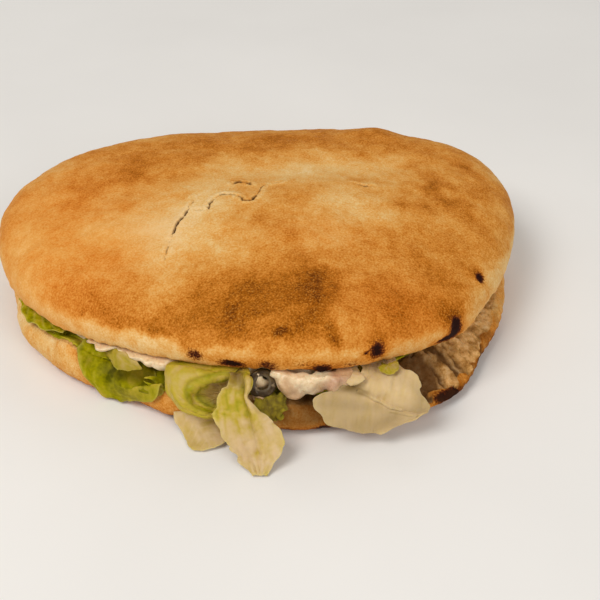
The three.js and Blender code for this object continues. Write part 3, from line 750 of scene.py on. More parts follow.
def crust_material():
    s = Shader("baked_crust")
    toast, char = s.attribute("toast"), s.attribute("char")
    grain = s.noise(0.9, 2.0, 0.6)
    mottle = s.noise(3.2, 3.0, 0.6)
    speck = s.spread(s.noise(0.75, 1.0, 0.5), 0.54, 0.70)
    baked = s.vary(s.vary(toast, grain, 0.17), mottle, 0.05, clamp=True)
    crust = s.mix(s.part("gold", 0.75), s.ramp(baked, CRUST_RAMP), colour(255, 214, 150), "MULTIPLY")
    pale_specks = s.math("MULTIPLY", speck, s.spread(toast, 0.35, 0.8, 0.1, 0.5))
    crust = s.mix(pale_specks, crust, colour(222, 150, 62))
    burnt = s.vary(char, grain, 0.22, 0.3)
    crust = s.mix(s.spread(burnt, 0.22, 0.6), crust, colour(104, 46, 16))
    crust = s.mix(s.spread(burnt, 0.5, 0.85), crust, colour(38, 15, 10))
    crumb = s.ramp(s.noise(4.2, 5.0, 0.7), CRUMB_RAMP)
    crumb = s.mix(s.spread(burnt, 0.3, 0.7), crumb, colour(60, 26, 14))
    base = s.mix(s.spread(s.attribute("crumb"), 0.35, 0.65), crust, crumb)
    # painted shade: darkens the crust in its cracks, over the torn crumb and its pits, and on the side under
    # the mouth
    base = s.mix(s.spread(s.attribute("crack"), 0.1, 1.0, 0.0, 0.9), base, colour(76, 43, 15))
    s.set(Base_Color=base, Roughness=s.spread(mottle, 0.3, 0.7, 0.55, 0.75), Specular_IOR_Level=0.05)
    s.set(Subsurface_Weight=0.04, Subsurface_Scale=0.002, Subsurface_Radius=(1.0, 0.5, 0.25))
    fine = s.bump(s.noise(0.8, 2.0, 0.6), 0.12, 0.7)
    s.set(Normal=s.bump(s.noise(2.6, 3.0, 0.55), 0.25, 0.5, fine))
    return s.material


# ---------------------------------------------------------------- salad and lettuce bed

# Lumps of the salad that show at the mouth: [x, y, z, half sizes, kind]. Kinds: 0 cream, 1 pink ham, 2 white,
# which also serves as painted highlight and makes lumps in the upper bread's shadow look lit.
SALAD_LUMPS = [
    (15.5, -94.8, 26, 6, 4.4, 6, 0), (17, -95.4, 21.2, 4.6, 3.4, 2.8, 0), (10.5, -92, 30, 4, 3.4, 2.6, 2),
    (2.2, -91.6, 24.6, 2.6, 1.8, 3.8, 2), (3.5, -89.5, 21.5, 5, 2.6, 3, 0),
    (2.4, -96.3, 19.7, 3.6, 2.6, 1.5, 0), (23.2, -96.2, 27.4, 3.8, 3.2, 4, 2),
    (24.6, -95.6, 23.4, 3.2, 2.6, 2.4, 2), (20.2, -96, 29.6, 3.8, 3.4, 2.8, 2),
    (32.6, -95.6, 27.8, 4.8, 4.2, 4.6, 1), (36.5, -95, 24.2, 3.2, 3, 2.6, 2),
    (38.8, -94.2, 26.6, 3.2, 3, 3, 1), (28.4, -95, 30.4, 3.6, 3.4, 2.4, 2), (38.5, -92, 29.6, 4, 4, 2.8, 0),
    (28.2, -96.4, 25.2, 2.2, 2, 2.4, 0), (-72.5, -63.5, 25.4, 3.4, 2.4, 2, 2),
    (-67.5, -67.6, 24.4, 4.6, 3, 2.6, 2), (-61.5, -67.4, 24.8, 3.6, 2, 2.2, 2),
    (-55.5, -70.4, 25.4, 5, 3, 2.8, 2), (-50.5, -75, 25.6, 5.6, 3.4, 3, 2),
    (-44.5, -78.4, 25.4, 5.4, 3.4, 3, 2), (-39.5, -80.8, 25.2, 4.4, 3.2, 3, 2),
]
SALAD_SEED = 11
SALAD_RINGS = [(0.985, 0.62), (0.94, 0.85), (0.95, 0.42)]  # shares of the filling's radius and of its height
SALAD_PER_RING = 74
SALAD_KINDS = (0.5, 0.28, 0.22)  # how often each kind comes
BARE_FRONT = (-112, -22)  # right of this x and in front of this y, only the listed lumps show


def lump_body(place, size, seed):
    """A ball with soft dents."""
    ball = bmesh.new()
    bmesh.ops.create_icosphere(ball, subdivisions=3, radius=1)
    points = np.array([v.co for v in ball.verts])
    faces = [[v.index for v in f.verts] for f in ball.faces]
    ball.free()
    dented = points * (1 + 0.3 * fractal(points, 0.9, 2, seed))[:, None]
    return dented * size + place, faces


def salad_lumps():
    rand = np.random.RandomState(SALAD_SEED)
    lumps = list(SALAD_LUMPS)
    for share, level in SALAD_RINGS:
        angles = np.arange(SALAD_PER_RING) * 360 / SALAD_PER_RING + rand.uniform(-1.6, 1.6, SALAD_PER_RING)
        px, py = filling_edge(angles, share + rand.uniform(-0.012, 0.012, SALAD_PER_RING))
        low, high = bed_top(px, py), upper_under(px, py)
        for x, y, a, b in zip(px, py, low, high):
            if y < BARE_FRONT[1] and x > BARE_FRONT[0]:
                continue
            wide = rand.uniform(2.6, 4.4)
            tall = min(wide * 0.85, 0.42 * (b - a) + 0.6)
            kind = rand.choice(3, p=SALAD_KINDS)
            lumps.append((x, y, a + (b - a) * level, wide, wide * 0.9, tall, kind))
    return lumps


def fill_clear(points, gap):
    """Points of the filling, kept between the breads."""
    x, y, z = points.T
    lower_share, upper_share = plan_of(LOWER, x, y)[1], plan_of(UPPER, x, y)[1]
    z = np.where(lower_share < RIM_SHARE, np.maximum(z, lower_top(x, y) + gap), z)
    beside = (lower_share >= RIM_SHARE) & (lower_share < 1.0)
    z = np.where(beside, np.maximum(z, BOTTOM_RIM + gap - 30 * (lower_share - RIM_SHARE)), z)
    roof = np.where(upper_share < RIM_SHARE, upper_under(x, y), upper_lift(x, y))
    z = np.where(upper_share < 1.02, np.minimum(z, roof - gap), z)
    return np.stack([x, y, z], 1)


def layer_body(profile, low_at, high_at, around):
    """A layer of the filling between two surfaces. Its profile is in shares of the radius and the height."""
    def place(x, y, share, level, angle):
        px, py = filling_plan(x, y, angle)
        low, high = low_at(px, py), high_at(px, py)
        return px, py, low + (high - low) * level

    return ring_body(LOWER, profile, place, around)


def salad():
    profile = [(0, 0.1), (0.3, 0.1), (0.6, 0.1), (0.85, 0.1), (0.955, 0.25), (0.97, 0.5), (0.955, 0.75)]
    profile = profile + [(0.85, 0.9), (0.6, 0.9), (0.3, 0.9), (0, 0.9)]
    lumps = salad_lumps()
    parts = [layer_body(profile, lambda x, y: bed_top(x, y) + BED_OVERLAP, upper_under, around=180)]
    for seed, lump in enumerate(lumps):
        parts.append(lump_body(np.array(lump[:3]), np.array(lump[3:6]), seed))
    obj = even_object("creamy_salad", joined(parts), voxel=0.9, repeats=4)
    points, normals = surface_of(obj)
    relief = layered(points, (0.35, 4.6, 2, 61), (0.12, 1.8, 2, 62))
    points = fill_clear(points + normals * relief[:, None], gap=0.15)
    move_to(obj, points)

    tree = KDTree(len(lumps))
    for i, lump in enumerate(lumps):
        tree.insert(lump[:3], i)
    tree.balance()
    shift = np.stack([1.4 * fractal(points, 3.4, 2, seed) for seed in (63, 64, 65)], 1)
    shares = np.zeros((len(points), 3))
    for i, place in enumerate(points + shift):
        for _, near, away in tree.find_n(place, 3):
            shares[i, lumps[near][6]] += bell(away / 2.6) + 1e-6
    shares /= shares.sum(1, keepdims=True)
    paint(obj, ham=shares[:, 1], white=shares[:, 2])
    return obj


# The frilly edges of the lettuce bed: [level in the bed, reach, seed].
BED_FRILLS = [(0.35, 4.4, 71), (0.95, 3.2, 73)]
BED_AROUND, BED_ACROSS = 1100, 7


def bed_frill(level, reach, seed):
    """A wavy band that stands out of the lettuce bed's edge, and keeps back at the mouth."""
    angle = np.arange(BED_AROUND) * 360 / BED_AROUND
    circle = np.stack([*round_at(80, angle), 0 * angle], 1)
    front = np.maximum(soft_angle(angle, 288, 50), 0.8 * soft_angle(angle, 225, 25))
    wide = (reach + 1.8 * fractal(circle, 13, 3, seed)) * (1 - 0.95 * front)
    wave = fractal(circle, 6.5, 3, seed + 1) * 3.2
    x0, y0 = filling_edge(angle, 0.93)
    x1, y1 = filling_edge(angle, 1.0)
    length = np.hypot(x1 - x0, y1 - y0)
    out_x, out_y = (x1 - x0) / length, (y1 - y0) / length
    start = lower_top(x0, y0) + (bed_top(x0, y0) - lower_top(x0, y0)) * level
    rows = []
    for t in np.linspace(0, 1, BED_ACROSS):
        x, y = x0 + out_x * (length + wide) * t, y0 + out_y * (length + wide) * t
        rows.append(fill_clear(np.stack([x, y, start + wave * t * t - 0.8 * t], 1), gap=0.45))
    rows = np.array(rows)
    normals = np.cross((np.roll(rows, -1, 1) - np.roll(rows, 1, 1)) / 2, np.gradient(rows, axis=0))
    normals /= np.linalg.norm(normals, axis=2, keepdims=True) + 1e-9
    return thick_sheet(rows, normals, thickness=0.5, closed=True)


def lettuce_bed():
    profile = [(0, 0), (0.4, 0), (0.8, 0), (0.94, 0.1), (0.97, 0.5), (0.94, 0.95), (0.8, 1), (0.4, 1), (0, 1)]
    bed = layer_body(
        profile, lambda x, y: lower_top(x, y) - 0.5, lambda x, y: bed_top(x, y) + BED_OVERLAP, around=240,
    )
    points, faces = joined([bed, *(bed_frill(*frill) for frill in BED_FRILLS)])
    obj = object_of("lettuce_bed_leaves", mesh_of("lettuce_bed_leaves", points, faces))
    out = plan_of(LOWER, points[:, 0], points[:, 1])[1]
    # the tint darkens towards the bed's edge; its dark green there also stands as painted shade in the gap
    # between the breads
    paint(obj, tint=0.55 + 0.5 * fractal(points, 12, 3, 75) + 0.2 * smooth_step(0.8, 0.95, out))
    return obj


def salad_material():
    s = Shader("creamy_salad")
    blotch, fine = s.noise(5.0, 3.0, 0.6), s.noise(1.5, 3.0, 0.6)
    cream = s.ramp(blotch, [(0.3, (174, 136, 96)), (0.5, (196, 158, 116)), (0.7, (218, 184, 142))])
    patch = s.noise(3.2, 3.0, 0.6)
    ham = s.ramp(patch, [(0.3, (168, 122, 94)), (0.5, (196, 150, 118)), (0.7, (218, 178, 142))])
    # white bits, also bright enough to serve as painted highlight on the lumps
    white = s.ramp(fine, [(0.3, (230, 200, 156)), (0.7, (250, 232, 194))])
    base = s.mix(s.part("white", 0.8), s.mix(s.part("ham", 0.85), cream, ham), white)
    s.set(Base_Color=base, Roughness=s.spread(fine, 0.3, 0.7, 0.22, 0.42), Specular_IOR_Level=0.45)
    s.set(Subsurface_Weight=0.25, Subsurface_Scale=0.003, Subsurface_Radius=(1.0, 0.6, 0.4))
    s.set(Coat_Weight=0.15, Coat_Roughness=0.15)
    s.set(Normal=s.bump(fine, 0.25, 0.5, s.bump(s.noise(0.7, 2.0, 0.5), 0.08, 0.5)))
    return s.material


# ---------------------------------------------------------------- leaves

LEAF_GAP = 0.95  # from a leaf's middle surface to the breads
LEAF_LOWEST = 0.4  # the least height of that surface
LEAF_EDGE = 0.35  # how thick a leaf is at its border


def clear_of_bread(points, gap):
    """Points moved clear of both breads and of the table: over the cut faces, or out past the crust."""
    x, y, z = points.reshape(-1, 3).T.copy()
    z = np.maximum(z, gap)
    angle, share = plan_of(LOWER, x, y)
    inside = share < RIM_SHARE
    z = np.where(inside, np.maximum(z, lower_top(x, y) + gap), z)
    radius = np.hypot(x, y - LOWER["shift"])
    wall = np.where(z > LOWER_EDGE[-1, 1] + 0.35, 0, np.interp(z, LOWER_EDGE[:, 1], LOWER_EDGE[:, 0]))
    least = wall * radius_of(LOWER, angle) + gap
    grow = np.where(~inside & (wall > 0) & (radius < least), least / np.maximum(radius, 1), 1)
    x, y = x * grow, (y - LOWER["shift"]) * grow + LOWER["shift"]
    share = plan_of(UPPER, x, y)[1]
    roof = np.where(share < RIM_SHARE, upper_under(x, y), upper_lift(x, y))
    z = np.where((share < 1.0) & (z < roof + 12), np.minimum(z, roof - gap), z)
    return np.stack([x, y, z], 1).reshape(points.shape)


def blurred(grid, repeats):
    for _ in range(repeats):
        padded = np.pad(grid, ((1, 1), (1, 1), (0, 0)), "edge")
        grid = (padded[:-2, 1:-1] + padded[2:, 1:-1] + padded[1:-1, :-2] + padded[1:-1, 2:] + 2 * grid) / 6
    return grid


def grid_normals(grid):
    normal = np.cross(np.gradient(grid, axis=1), np.gradient(grid, axis=0))
    return normal / (np.linalg.norm(normal, axis=2, keepdims=True) + 1e-9)


def fold_lift(u, v, folds):
    """Ridges and grooves along lines of a leaf, each [start, end, half width, height]."""
    lift = 0 * u
    for (u0, v0), (u1, v1), width, height in folds:
        line_u, line_v = u1 - u0, v1 - v0
        along = np.clip(((u - u0) * line_u + (v - v0) * line_v) / (line_u**2 + line_v**2), 0, 1)
        away = np.hypot(u - u0 - along * line_u, v - v0 - along * line_v)
        lift = lift + height * bell(away / width)
    return lift


def grid_noise(flat, size, octaves, seed):
    return fractal(flat.reshape(-1, 3), size, octaves, seed).reshape(flat.shape[:2])


def spine_grid(leaf, u, v):
    """A leaf's middle surface, from its spine, and the same laid out flat."""
    seed = leaf["seed"]
    spine = smooth_line(leaf["spine"], len(u))
    line, left, right = spine[:, :3], spine[:, 3][:, None], spine[:, 4][:, None]
    tangent = np.gradient(line, axis=0)
    tangent /= np.linalg.norm(tangent, axis=1, keepdims=True)
    side = np.asarray(leaf["across"], float)
    side = side - tangent * (tangent @ side)[:, None]
    side /= np.linalg.norm(side, axis=1, keepdims=True)
    up = np.cross(tangent, side)
    length = np.linalg.norm(np.diff(line, axis=0), axis=1).sum()
    (notch, notch_size), (frill, frill_size), (ruffle, ruffles) = leaf["notch"], leaf["frill"], leaf["ruffle"]
    each_side = np.stack([u * length, np.sign(v) * 40, 0 * u], 2)  # so that the two edges differ
    notch = notch * grid_noise(each_side, notch_size, 3, seed)
    half = np.where(v < 0, left, right) * (1 + 2 * notch * np.abs(v) ** 3)
    flat = np.stack([u * length, v * half, 0 * u], 2)
    lift = (ruffle * np.sin(2 * math.pi * ruffles * u + 2 * v) + leaf["cup"]) * v * v
    lift = lift + frill * grid_noise(flat * [1, 0.35, 1], frill_size, 2, seed + 1) * np.abs(v) ** 3
    lift = lift + fold_lift(u, v, leaf["folds"])
    grid = line[:, None, :] + side[:, None, :] * (v * half)[:, :, None] + up[:, None, :] * lift[:, :, None]
    return grid, flat


def curl_grid(leaf, u, v):
    """The surface through the curled leaf's rings, each point to the right, up and forward of its middle."""
    along = np.array([smooth_line(ring, u.shape[1]) for ring in leaf["rings"]])
    local = np.array([smooth_line(along[:, k], len(u)) for k in range(u.shape[1])]).transpose(1, 0, 2)
    lean = math.radians(CURL_LEAN)
    axes = np.array([(1, 0, 0), (0, math.sin(lean), math.cos(lean)), (0, -math.cos(lean), math.sin(lean))])
    half_width, length = CURL_FLAT
    return np.array(CURL_MIDDLE) + local @ axes, np.stack([v * half_width, u * length, 0 * u], 2)


def veins(u, v, count):
    """Side veins that leave the rib at a slant, and the rib, from 0 to 1."""
    phase = u * count - np.abs(v) * 1.5
    side = bell((phase % 1 - 0.5) / 0.13) * (1 - v**2)
    rib = bell(v / 0.09) * (1 - 0.6 * u)
    return np.maximum(rib, 0.7 * side)


def leaf_object(name, leaf):
    """A closed leaf with crinkles, veins and tints."""
    leaf = {**LEAF_DEFAULTS, **leaf}
    seed = leaf["seed"]
    rows, columns = leaf["grid"]
    u, v = np.meshgrid(np.linspace(0, 1, rows), np.linspace(-1, 1, columns), indexing="ij")
    grid, flat = curl_grid(leaf, u, v) if "rings" in leaf else spine_grid(leaf, u, v)
    grid = clear_of_bread(grid, LEAF_GAP)
    grid = clear_of_bread(blurred(grid, 3), LEAF_GAP)
    grid = blurred(grid, 1)
    vein_lift, vein_pale, vein_show = leaf["veins"]
    stripe_lift, stripe_size, stripe_show = leaf["stripes"]
    crinkle_lift, crinkle_size = leaf["crinkle"]
    vein = veins(u, v, leaf["vein_count"])
    stripes = grid_noise(flat * [0.18, 1, 1], stripe_size, 2, seed + 2)
    crinkle = grid_noise(flat, crinkle_size, 3, seed + 3)
    lift = crinkle_lift * crinkle + 0.1 * grid_noise(flat, 2, 2, seed + 4)
    lift = lift + fold_lift(u, v, leaf["creases"]) + vein_lift * vein + stripe_lift * stripes
    grid = grid + grid_normals(grid) * lift[:, :, None]
    grid[:, :, 2] = np.maximum(grid[:, :, 2], LEAF_LOWEST)
    border = np.minimum(1 - np.abs(v), np.minimum(u, 1 - u) * 2)
    thick = LEAF_EDGE + leaf["thick"] * smooth_step(0, 0.35, border)
    obj = object_of(name, mesh_of(name, *thick_sheet(grid, grid_normals(grid), thick[:, :, None])))

    tint = leaf["tint"] + leaf["tint_noise"] * crinkle + stripe_show * stripes - vein_pale * vein
    rim = smooth_step(0.12, 0, 1 - np.abs(v)) + smooth_step(0.05, 0, 1 - u)
    layers = {
        "tint": tint + spots_at(leaf["tints"], u, v),
        "vein": vein_show * vein + leaf["rim_show"] * rim,
        "shade": spots_at(leaf["shades"], u, v),
        "brown_and_shade": spots_at(leaf["browns_and_shades"], u, v),
    }
    paint(obj, **{layer: np.tile(values.ravel(), 2) for layer, values in layers.items()})
    return obj


# What a leaf has unless its own facts say otherwise. Each point of a spine holds its place and how far the
# leaf reaches there to its left and to its right. cup is how far its two sides stand up. notch, frill and
# crinkle are [how much, size], ruffle is [how much, how many], stripes are [height, size, how much they
# show] and veins are [height, how much paler, how much they show]. thick is what the middle of the leaf adds
# to its edge. The places of folds, creases, tints, shades and browns run from 0 to 1 along the leaf and
# from -1 to 1 across it. shades are painted shade, and the brown mixed in is the leaf's own browning on
# some leaves and painted shade in the hollows of others.
LEAF_DEFAULTS = dict(
    cup=0, ruffle=(0, 3), notch=(0.08, 5), frill=(0, 6), crinkle=(0.5, 5), stripes=(0.1, 1.8, 0.1),
    veins=(0, 0, 0), vein_count=6, rim_show=0.5, thick=0.5, tint_noise=0.22, folds=[], creases=[], tints=[],
    shades=[], browns_and_shades=[],
)
LEAVES = {
    # the strip of green edge at the far left of the mouth
    "lettuce_strip": dict(
        slot="lettuce_green", seed=101, grid=(80, 26), across=(0.6, 0.8, 0), tint=0.72, cup=-0.6,
        ruffle=(0.8, 4), notch=(0.14, 4), frill=(0.8, 6), crinkle=(0.4, 5), veins=(0.25, 0.2, 0.5),
        spine=[
            (-112, -20, 20, 3, 3), (-107, -31, 20.6, 6, 6), (-100, -41, 21, 6.5, 6.5),
            (-93, -48, 21.5, 5, 5), (-87, -52, 22, 2, 2),
        ],
    ),
    # the broad green leaf that hangs over the rim at the left
    "lettuce_green": dict(
        slot="lettuce_green", seed=111, grid=(80, 96), across=(0.87, -0.49, 0), tint=0.74, cup=-0.6,
        ruffle=(0.9, 2), notch=(0.05, 5), frill=(0.8, 9), crinkle=(1, 9), veins=(0.35, 0.08, 0.1),
        vein_count=5, rim_show=0.3,
        spine=[
            (-52, -58, 21.5, 14, 14), (-58, -68.5, 20.8, 20, 18), (-60.5, -73.5, 19.2, 21.5, 21),
            (-62, -76.4, 14.5, 17, 24), (-62, -77.6, 9.5, 11.5, 27.5), (-60, -79, 5, 8.5, 26),
            (-58.5, -79.6, 1.9, 3, 19),
        ],
        folds=[
            ((0.45, -0.8), (0.62, 0.5), 0.16, -1.8), ((0.55, -0.95), (0.9, -0.5), 0.15, 0.9),
            ((0.12, -1), (0.48, -1), 0.3, 3.6),
        ],
        tints=[
            (0.5, -0.85, 0.4, 0.3, -0.04), (0.62, 0, 0.2, 0.5, 0.16), (0.8, 0.85, 0.1, 0.18, -0.3),
            (0.9, 0, 0.2, 1, -0.06),
        ],
        shades=[
            (0.46, -0.35, 0.08, 0.35, 0.3), (0.52, 0.12, 0.1, 0.35, 0.75), (0.5, 0.6, 0.14, 0.3, 0.95),
            (0.59, 0.2, 0.06, 0.2, 0.3), (0.46, 0.86, 0.1, 0.2, 0.7), (0.57, -0.76, 0.06, 0.16, 0.45),
        ],
        browns_and_shades=[(0.92, 0.35, 0.14, 0.5, 0.3)],
    ),
    # the small pale piece that lies on it
    "lettuce_flap": dict(
        slot="lettuce_pale", seed=121, grid=(44, 44), across=(0.67, -0.15, 0.74), tint=0.44, cup=-0.4,
        ruffle=(0.4, 3), notch=(0.05, 5), crinkle=(0.4, 5), veins=(0.12, 0.05, 0.2), rim_show=0.3,
        spine=[
            (-66, -62, 23, 4.4, 4.4), (-63.6, -67.4, 23.4, 5.2, 4.6), (-60, -72.4, 22.8, 5.8, 5),
            (-57, -75.4, 21.6, 5.6, 5), (-53.4, -77.4, 20, 4.2, 4.4), (-50, -78.8, 18.6, 1.8, 2.2),
        ],
        shades=[(0.5, 0, 2, 4, 0.2)],
    ),
    # the pale leaf behind the long one, down the crust and out on the table
    "lettuce_back": dict(
        slot="lettuce_white", seed=131, grid=(70, 60), across=(0.96, -0.28, 0), tint=0.15, cup=0.3,
        ruffle=(0.4, 2), notch=(0.05, 5), crinkle=(0.5, 8), stripes=(0.12, 1.8, 0.1), veins=(0.1, 0.2, 0.2),
        spine=[
            (-26.5, -93.4, 10, 9, 6), (-26, -95.2, 6.8, 9.6, 10), (-24.6, -97.4, 3.8, 7.6, 13),
            (-21.5, -102, 2, 8, 11), (-19, -106, 1.5, 7.4, 9), (-18, -108.7, 1.3, 3.5, 4.5),
        ],
        tints=[(1, 0, 0.2, 1.2, 0.06)],
    ),
    # the long leaf that hangs out of the mouth to the table in front
    "lettuce_tongue": dict(
        slot="lettuce_pale", seed=141, grid=(130, 72), across=(1, -0.1, 0.1), tint=0.34, ruffle=(0.4, 2.4),
        notch=(0.08, 3.5), frill=(0.9, 4), crinkle=(0.45, 4), stripes=(0.12, 2.1, 0.2),
        spine=[
            (-6, -86, 28.5, 5, 3), (-4.5, -92, 30, 5.5, 3), (-4, -96, 30.6, 6.2, 3.1),
            (-3.2, -99.5, 29, 8.6, 3.4), (-3.2, -102.5, 25.5, 11.2, 1.2), (-2.8, -103.7, 23.8, 13, 2.2),
            (-2, -105.8, 20.8, 15, 4), (-1.1, -109.2, 16, 13.6, 9.8), (0.8, -112.8, 10.5, 12, 12.3),
            (1.3, -114.9, 8.2, 11, 12.3), (1.6, -116, 7, 8.6, 11.8), (2.1, -117.5, 5.4, 8.8, 10.4),
            (2.9, -121.6, 1.8, 4.6, 5.2), (3, -124.6, 1, 3, 3),
        ],
        folds=[
            ((0, -0.5), (0.24, -0.5), 0.32, -2), ((0, 0.5), (0.28, 0.5), 0.4, 0.8),
            ((0.36, 0.02), (0.82, 0.02), 0.15, -1.5), ((0.42, 0.5), (0.8, 0.42), 0.26, 0.8),
            ((0.38, -0.55), (0.6, -0.5), 0.36, 1.6), ((0.64, -0.4), (0.98, -0.3), 0.14, -0.9),
            ((0.66, 0.45), (0.98, 0.3), 0.12, -0.8), ((0.8, -1), (0.84, -0.2), 0.06, -0.7),
        ],
        tints=[
            (0.4, -0.35, 0.12, 0.6, 0.17), (0.48, 0.05, 0.16, 0.25, 0.1), (0.2, 0.6, 0.1, 0.5, 0.16),
            (0.56, 0.8, 0.2, 0.4, -0.24), (0.9, 0, 0.24, 1.8, -0.26), (0.66, -0.6, 0.1, 0.6, -0.2),
        ],
        shades=[
            (0.17, -0.5, 0.09, 0.6, 0.8), (0.27, -0.1, 0.06, 0.25, 0.5), (0.55, 0.02, 0.16, 0.08, 0.3),
            (0.05, 0, 0.05, 2, 0.4),
        ],
        # the first is painted shade in the hollow at its top, the second is its own browning
        browns_and_shades=[(0.16, -0.5, 0.1, 0.6, 0.5), (0.8, -0.5, 0.2, 0.6, 0.25)],
    ),
    # the frilly tuft under the olive slice
    "lettuce_tuft": dict(
        slot="lettuce_green", seed=151, grid=(60, 56), across=(1, 0, 0), tint=0.92, cup=0.3,
        ruffle=(1.6, 2.5), notch=(0.22, 3.5), frill=(2, 4), crinkle=(1.7, 4.4), rim_show=0.1,
        spine=[
            (6.6, -88, 18.6, 6, 6), (6.8, -94.5, 19.4, 8, 6.4), (7, -98.5, 18.6, 8, 6.8),
            (7.4, -101, 14.6, 7.5, 7), (7.6, -101.6, 10.8, 4, 4.5),
        ],
        shades=[(0.75, 0, 0.4, 1.5, 0.14), (0.75, 0.5, 0.15, 0.3, 0.35), (0.9, -0.4, 0.1, 0.3, 0.35)],
        browns_and_shades=[(0.7, 0, 0.6, 2, 0.45)],
    ),
    # the broad pale leaf at the right of the mouth
    "lettuce_broad": dict(
        slot="lettuce_white", seed=161, grid=(110, 110), across=(1, 0.1, -0.06), tint=0.02, cup=0.8,
        ruffle=(0.5, 2), notch=(0.06, 3.2), frill=(1.1, 3.4), crinkle=(0.5, 10), stripes=(0.3, 2.2, 0.12),
        rim_show=0.1, tint_noise=0.05,
        spine=[
            (54, -78, 27.2, 8, 7), (54, -84, 27.7, 9.5, 8.5), (53.8, -90, 27.6, 7.5, 16),
            (53, -95, 26.2, 12, 18.5), (52.4, -98, 24.6, 14, 21), (52, -99.8, 22.6, 18, 23),
            (51.6, -101.2, 20.6, 24.6, 24), (51.2, -102.2, 18.3, 28, 22.5), (50.6, -103.8, 13.8, 21.6, 18),
            (50.4, -104.6, 9.6, 12, 9), (50.3, -105, 6.8, 3.5, 3),
        ],
        folds=[
            ((0.52, -0.9), (0.62, 0.1), 0.11, -2), ((0.62, 0.1), (0.74, 0.9), 0.09, -1.5),
            ((0.4, 0.1), (0.55, 0.7), 0.2, 1.5), ((0.42, -0.3), (0.5, 0.2), 0.08, 0.8),
        ],
        creases=[
            ((0.54, -0.5), (0.58, -0.1), 0.016, -1), ((0.58, -0.1), (0.67, 0.3), 0.018, -1.3),
            ((0.67, 0.3), (0.69, 0.5), 0.016, -1), ((0.71, 0.28), (0.75, 0.9), 0.016, -1),
        ],
        shades=[
            (0.68, -0.65, 0.1, 0.5, 0.34), (0.92, -0.1, 0.17, 1.6, 0.42), (0.53, -0.76, 0.055, 0.32, 0.95),
            (0.56, -0.33, 0.035, 0.2, 0.5), (0.27, -0.5, 0.09, 0.6, 0.45), (0.52, 0.95, 0.2, 0.2, 0.36),
            (0.7, -0.1, 0.05, 0.5, 0.18), (0.78, 0.42, 0.1, 0.3, 0.3), (0.62, 0.75, 0.08, 0.2, 0.25),
        ],
    ),
    # the little curl beside it
    "lettuce_curl": dict(
        slot="lettuce_white", seed=171, grid=(44, 30), across=(1, 0.1, 0.15), tint=0.02, cup=-1.2,
        crinkle=(0.4, 5), stripes=(0.2, 1.8, 0.1), veins=(0.1, 0.2, 0.5),
        spine=[
            (41, -86, 28.2, 3, 3), (41.5, -91, 29, 4, 4), (42.3, -94.5, 29.8, 4.2, 4.2),
            (44, -96.6, 29.4, 3.8, 3.6), (45, -97.4, 28.2, 2.4, 2.4),
        ],
    ),
    # the green scrap on it
    "lettuce_scrap": dict(
        slot="lettuce_green", seed=181, grid=(36, 32), across=(1, 0.15, 0), tint=0.52, cup=-0.4,
        ruffle=(0.3, 3), notch=(0.2, 3), veins=(0.25, 0.2, 0.2),
        spine=[
            (57.5, -83, 29.8, 3, 3), (57.5, -88, 30.6, 4.4, 4.8), (56, -91, 30.7, 3.6, 4),
            (54.8, -93, 30.4, 1.5, 1.5),
        ],
        shades=[(0.5, 0, 2, 4, 0.3)],
    ),
    # the curled leaf, whose rings run from its tucked end, over the round outside and the lip, to the inside
    "lettuce_curled": dict(
        slot="lettuce_pale", seed=191, grid=(96, 120), tint=0.42, crinkle=(0.85, 4.4),
        stripes=(0.16, 2.4, 0.18), rim_show=0, thick=0.45, tint_noise=0.16,
        rings=[
            [(17, 12, -8), (9, 13, -10), (2, 13.5, -10), (-5, 14, -10), (-10, 13, -9), (-11.6, 9.5, -7),
             (-11, 5, -7), (-8.5, 0, -6), (-2.5, -4.4, -6), (3, -6, -5), (8.5, -6, -5)],
            [(18.5, 13.6, -3), (12, 15, -4.5), (4, 16, -5), (-4, 17, -5), (-10, 17, -4.5),
             (-13.4, 15, -3.5), (-15.2, 11, -3), (-14.6, 5.6, -3), (-11.6, -0.6, -2.6), (-5, -6, -2),
             (2.5, -8.1, -1.4), (8.7, -7.9, -1)],
            [(17, 12.6, 0.5), (9, 12.4, 2.2), (3, 12, 2.8), (-3, 11.8, 3.2), (-7.6, 10.5, 3.4),
             (-10.6, 8, 3.2), (-11.4, 5, 2.8), (-11, 2, 2.4), (-8.6, -2.6, 1.8), (-3.2, -6.2, 1),
             (3, -7.8, 0.6), (8.7, -7.7, 0.6)],
            [(14.5, 10.4, 2.2), (6.4, 9.4, 3.8), (1.8, 8.2, 4.2), (-2.2, 6.7, 4.4), (-5.1, 4.3, 4.2),
             (-6.6, 1.4, 3.8), (-6.2, -0.9, 3.2), (-4, -3.3, 2.6), (-0.5, -5.6, 2), (4.1, -7.2, 1.6),
             (8.7, -7.2, 1.4)],
            [(14, 8.6, 1.4), (5.8, 7.4, 3), (2.4, 6.4, 3.4), (-1.1, 4.9, 3.6), (-3.6, 2.8, 3.4),
             (-4.4, 0.8, 3), (-3.9, -0.9, 2.6), (-1.6, -3.4, 2), (1.8, -5.3, 1.4), (5.2, -6.3, 1),
             (8.7, -6.3, 1)],
            [(13.4, 6.6, -0.8), (6.6, 5.9, -0.8), (4, 5, -0.8), (1.6, 3.6, -0.8), (0, 2, -0.8),
             (-0.8, 0.6, -0.6), (-0.4, -0.8, -0.4), (1, -2.2, -0.2), (3.4, -3.6, -0.1), (5.8, -4.4, 0),
             (9, -4.4, 0)],
            [(13, 2.6, -1.6), (12, 2.2, -1.6), (11.4, 1.8, -1.6), (11, 1.4, -1.4), (10.8, 1, -1.4),
             (10.8, 0.6, -1.2), (11, 0.2, -1), (11.4, -0.2, -0.8), (12, -0.6, -0.6)],
        ],
        tints=[
            (0.56, 0, 0.04, 2, 0.24), (0.7, 0, 0.03, 2, 0.2), (0.8, 0.6, 0.1, 0.6, 0.35),
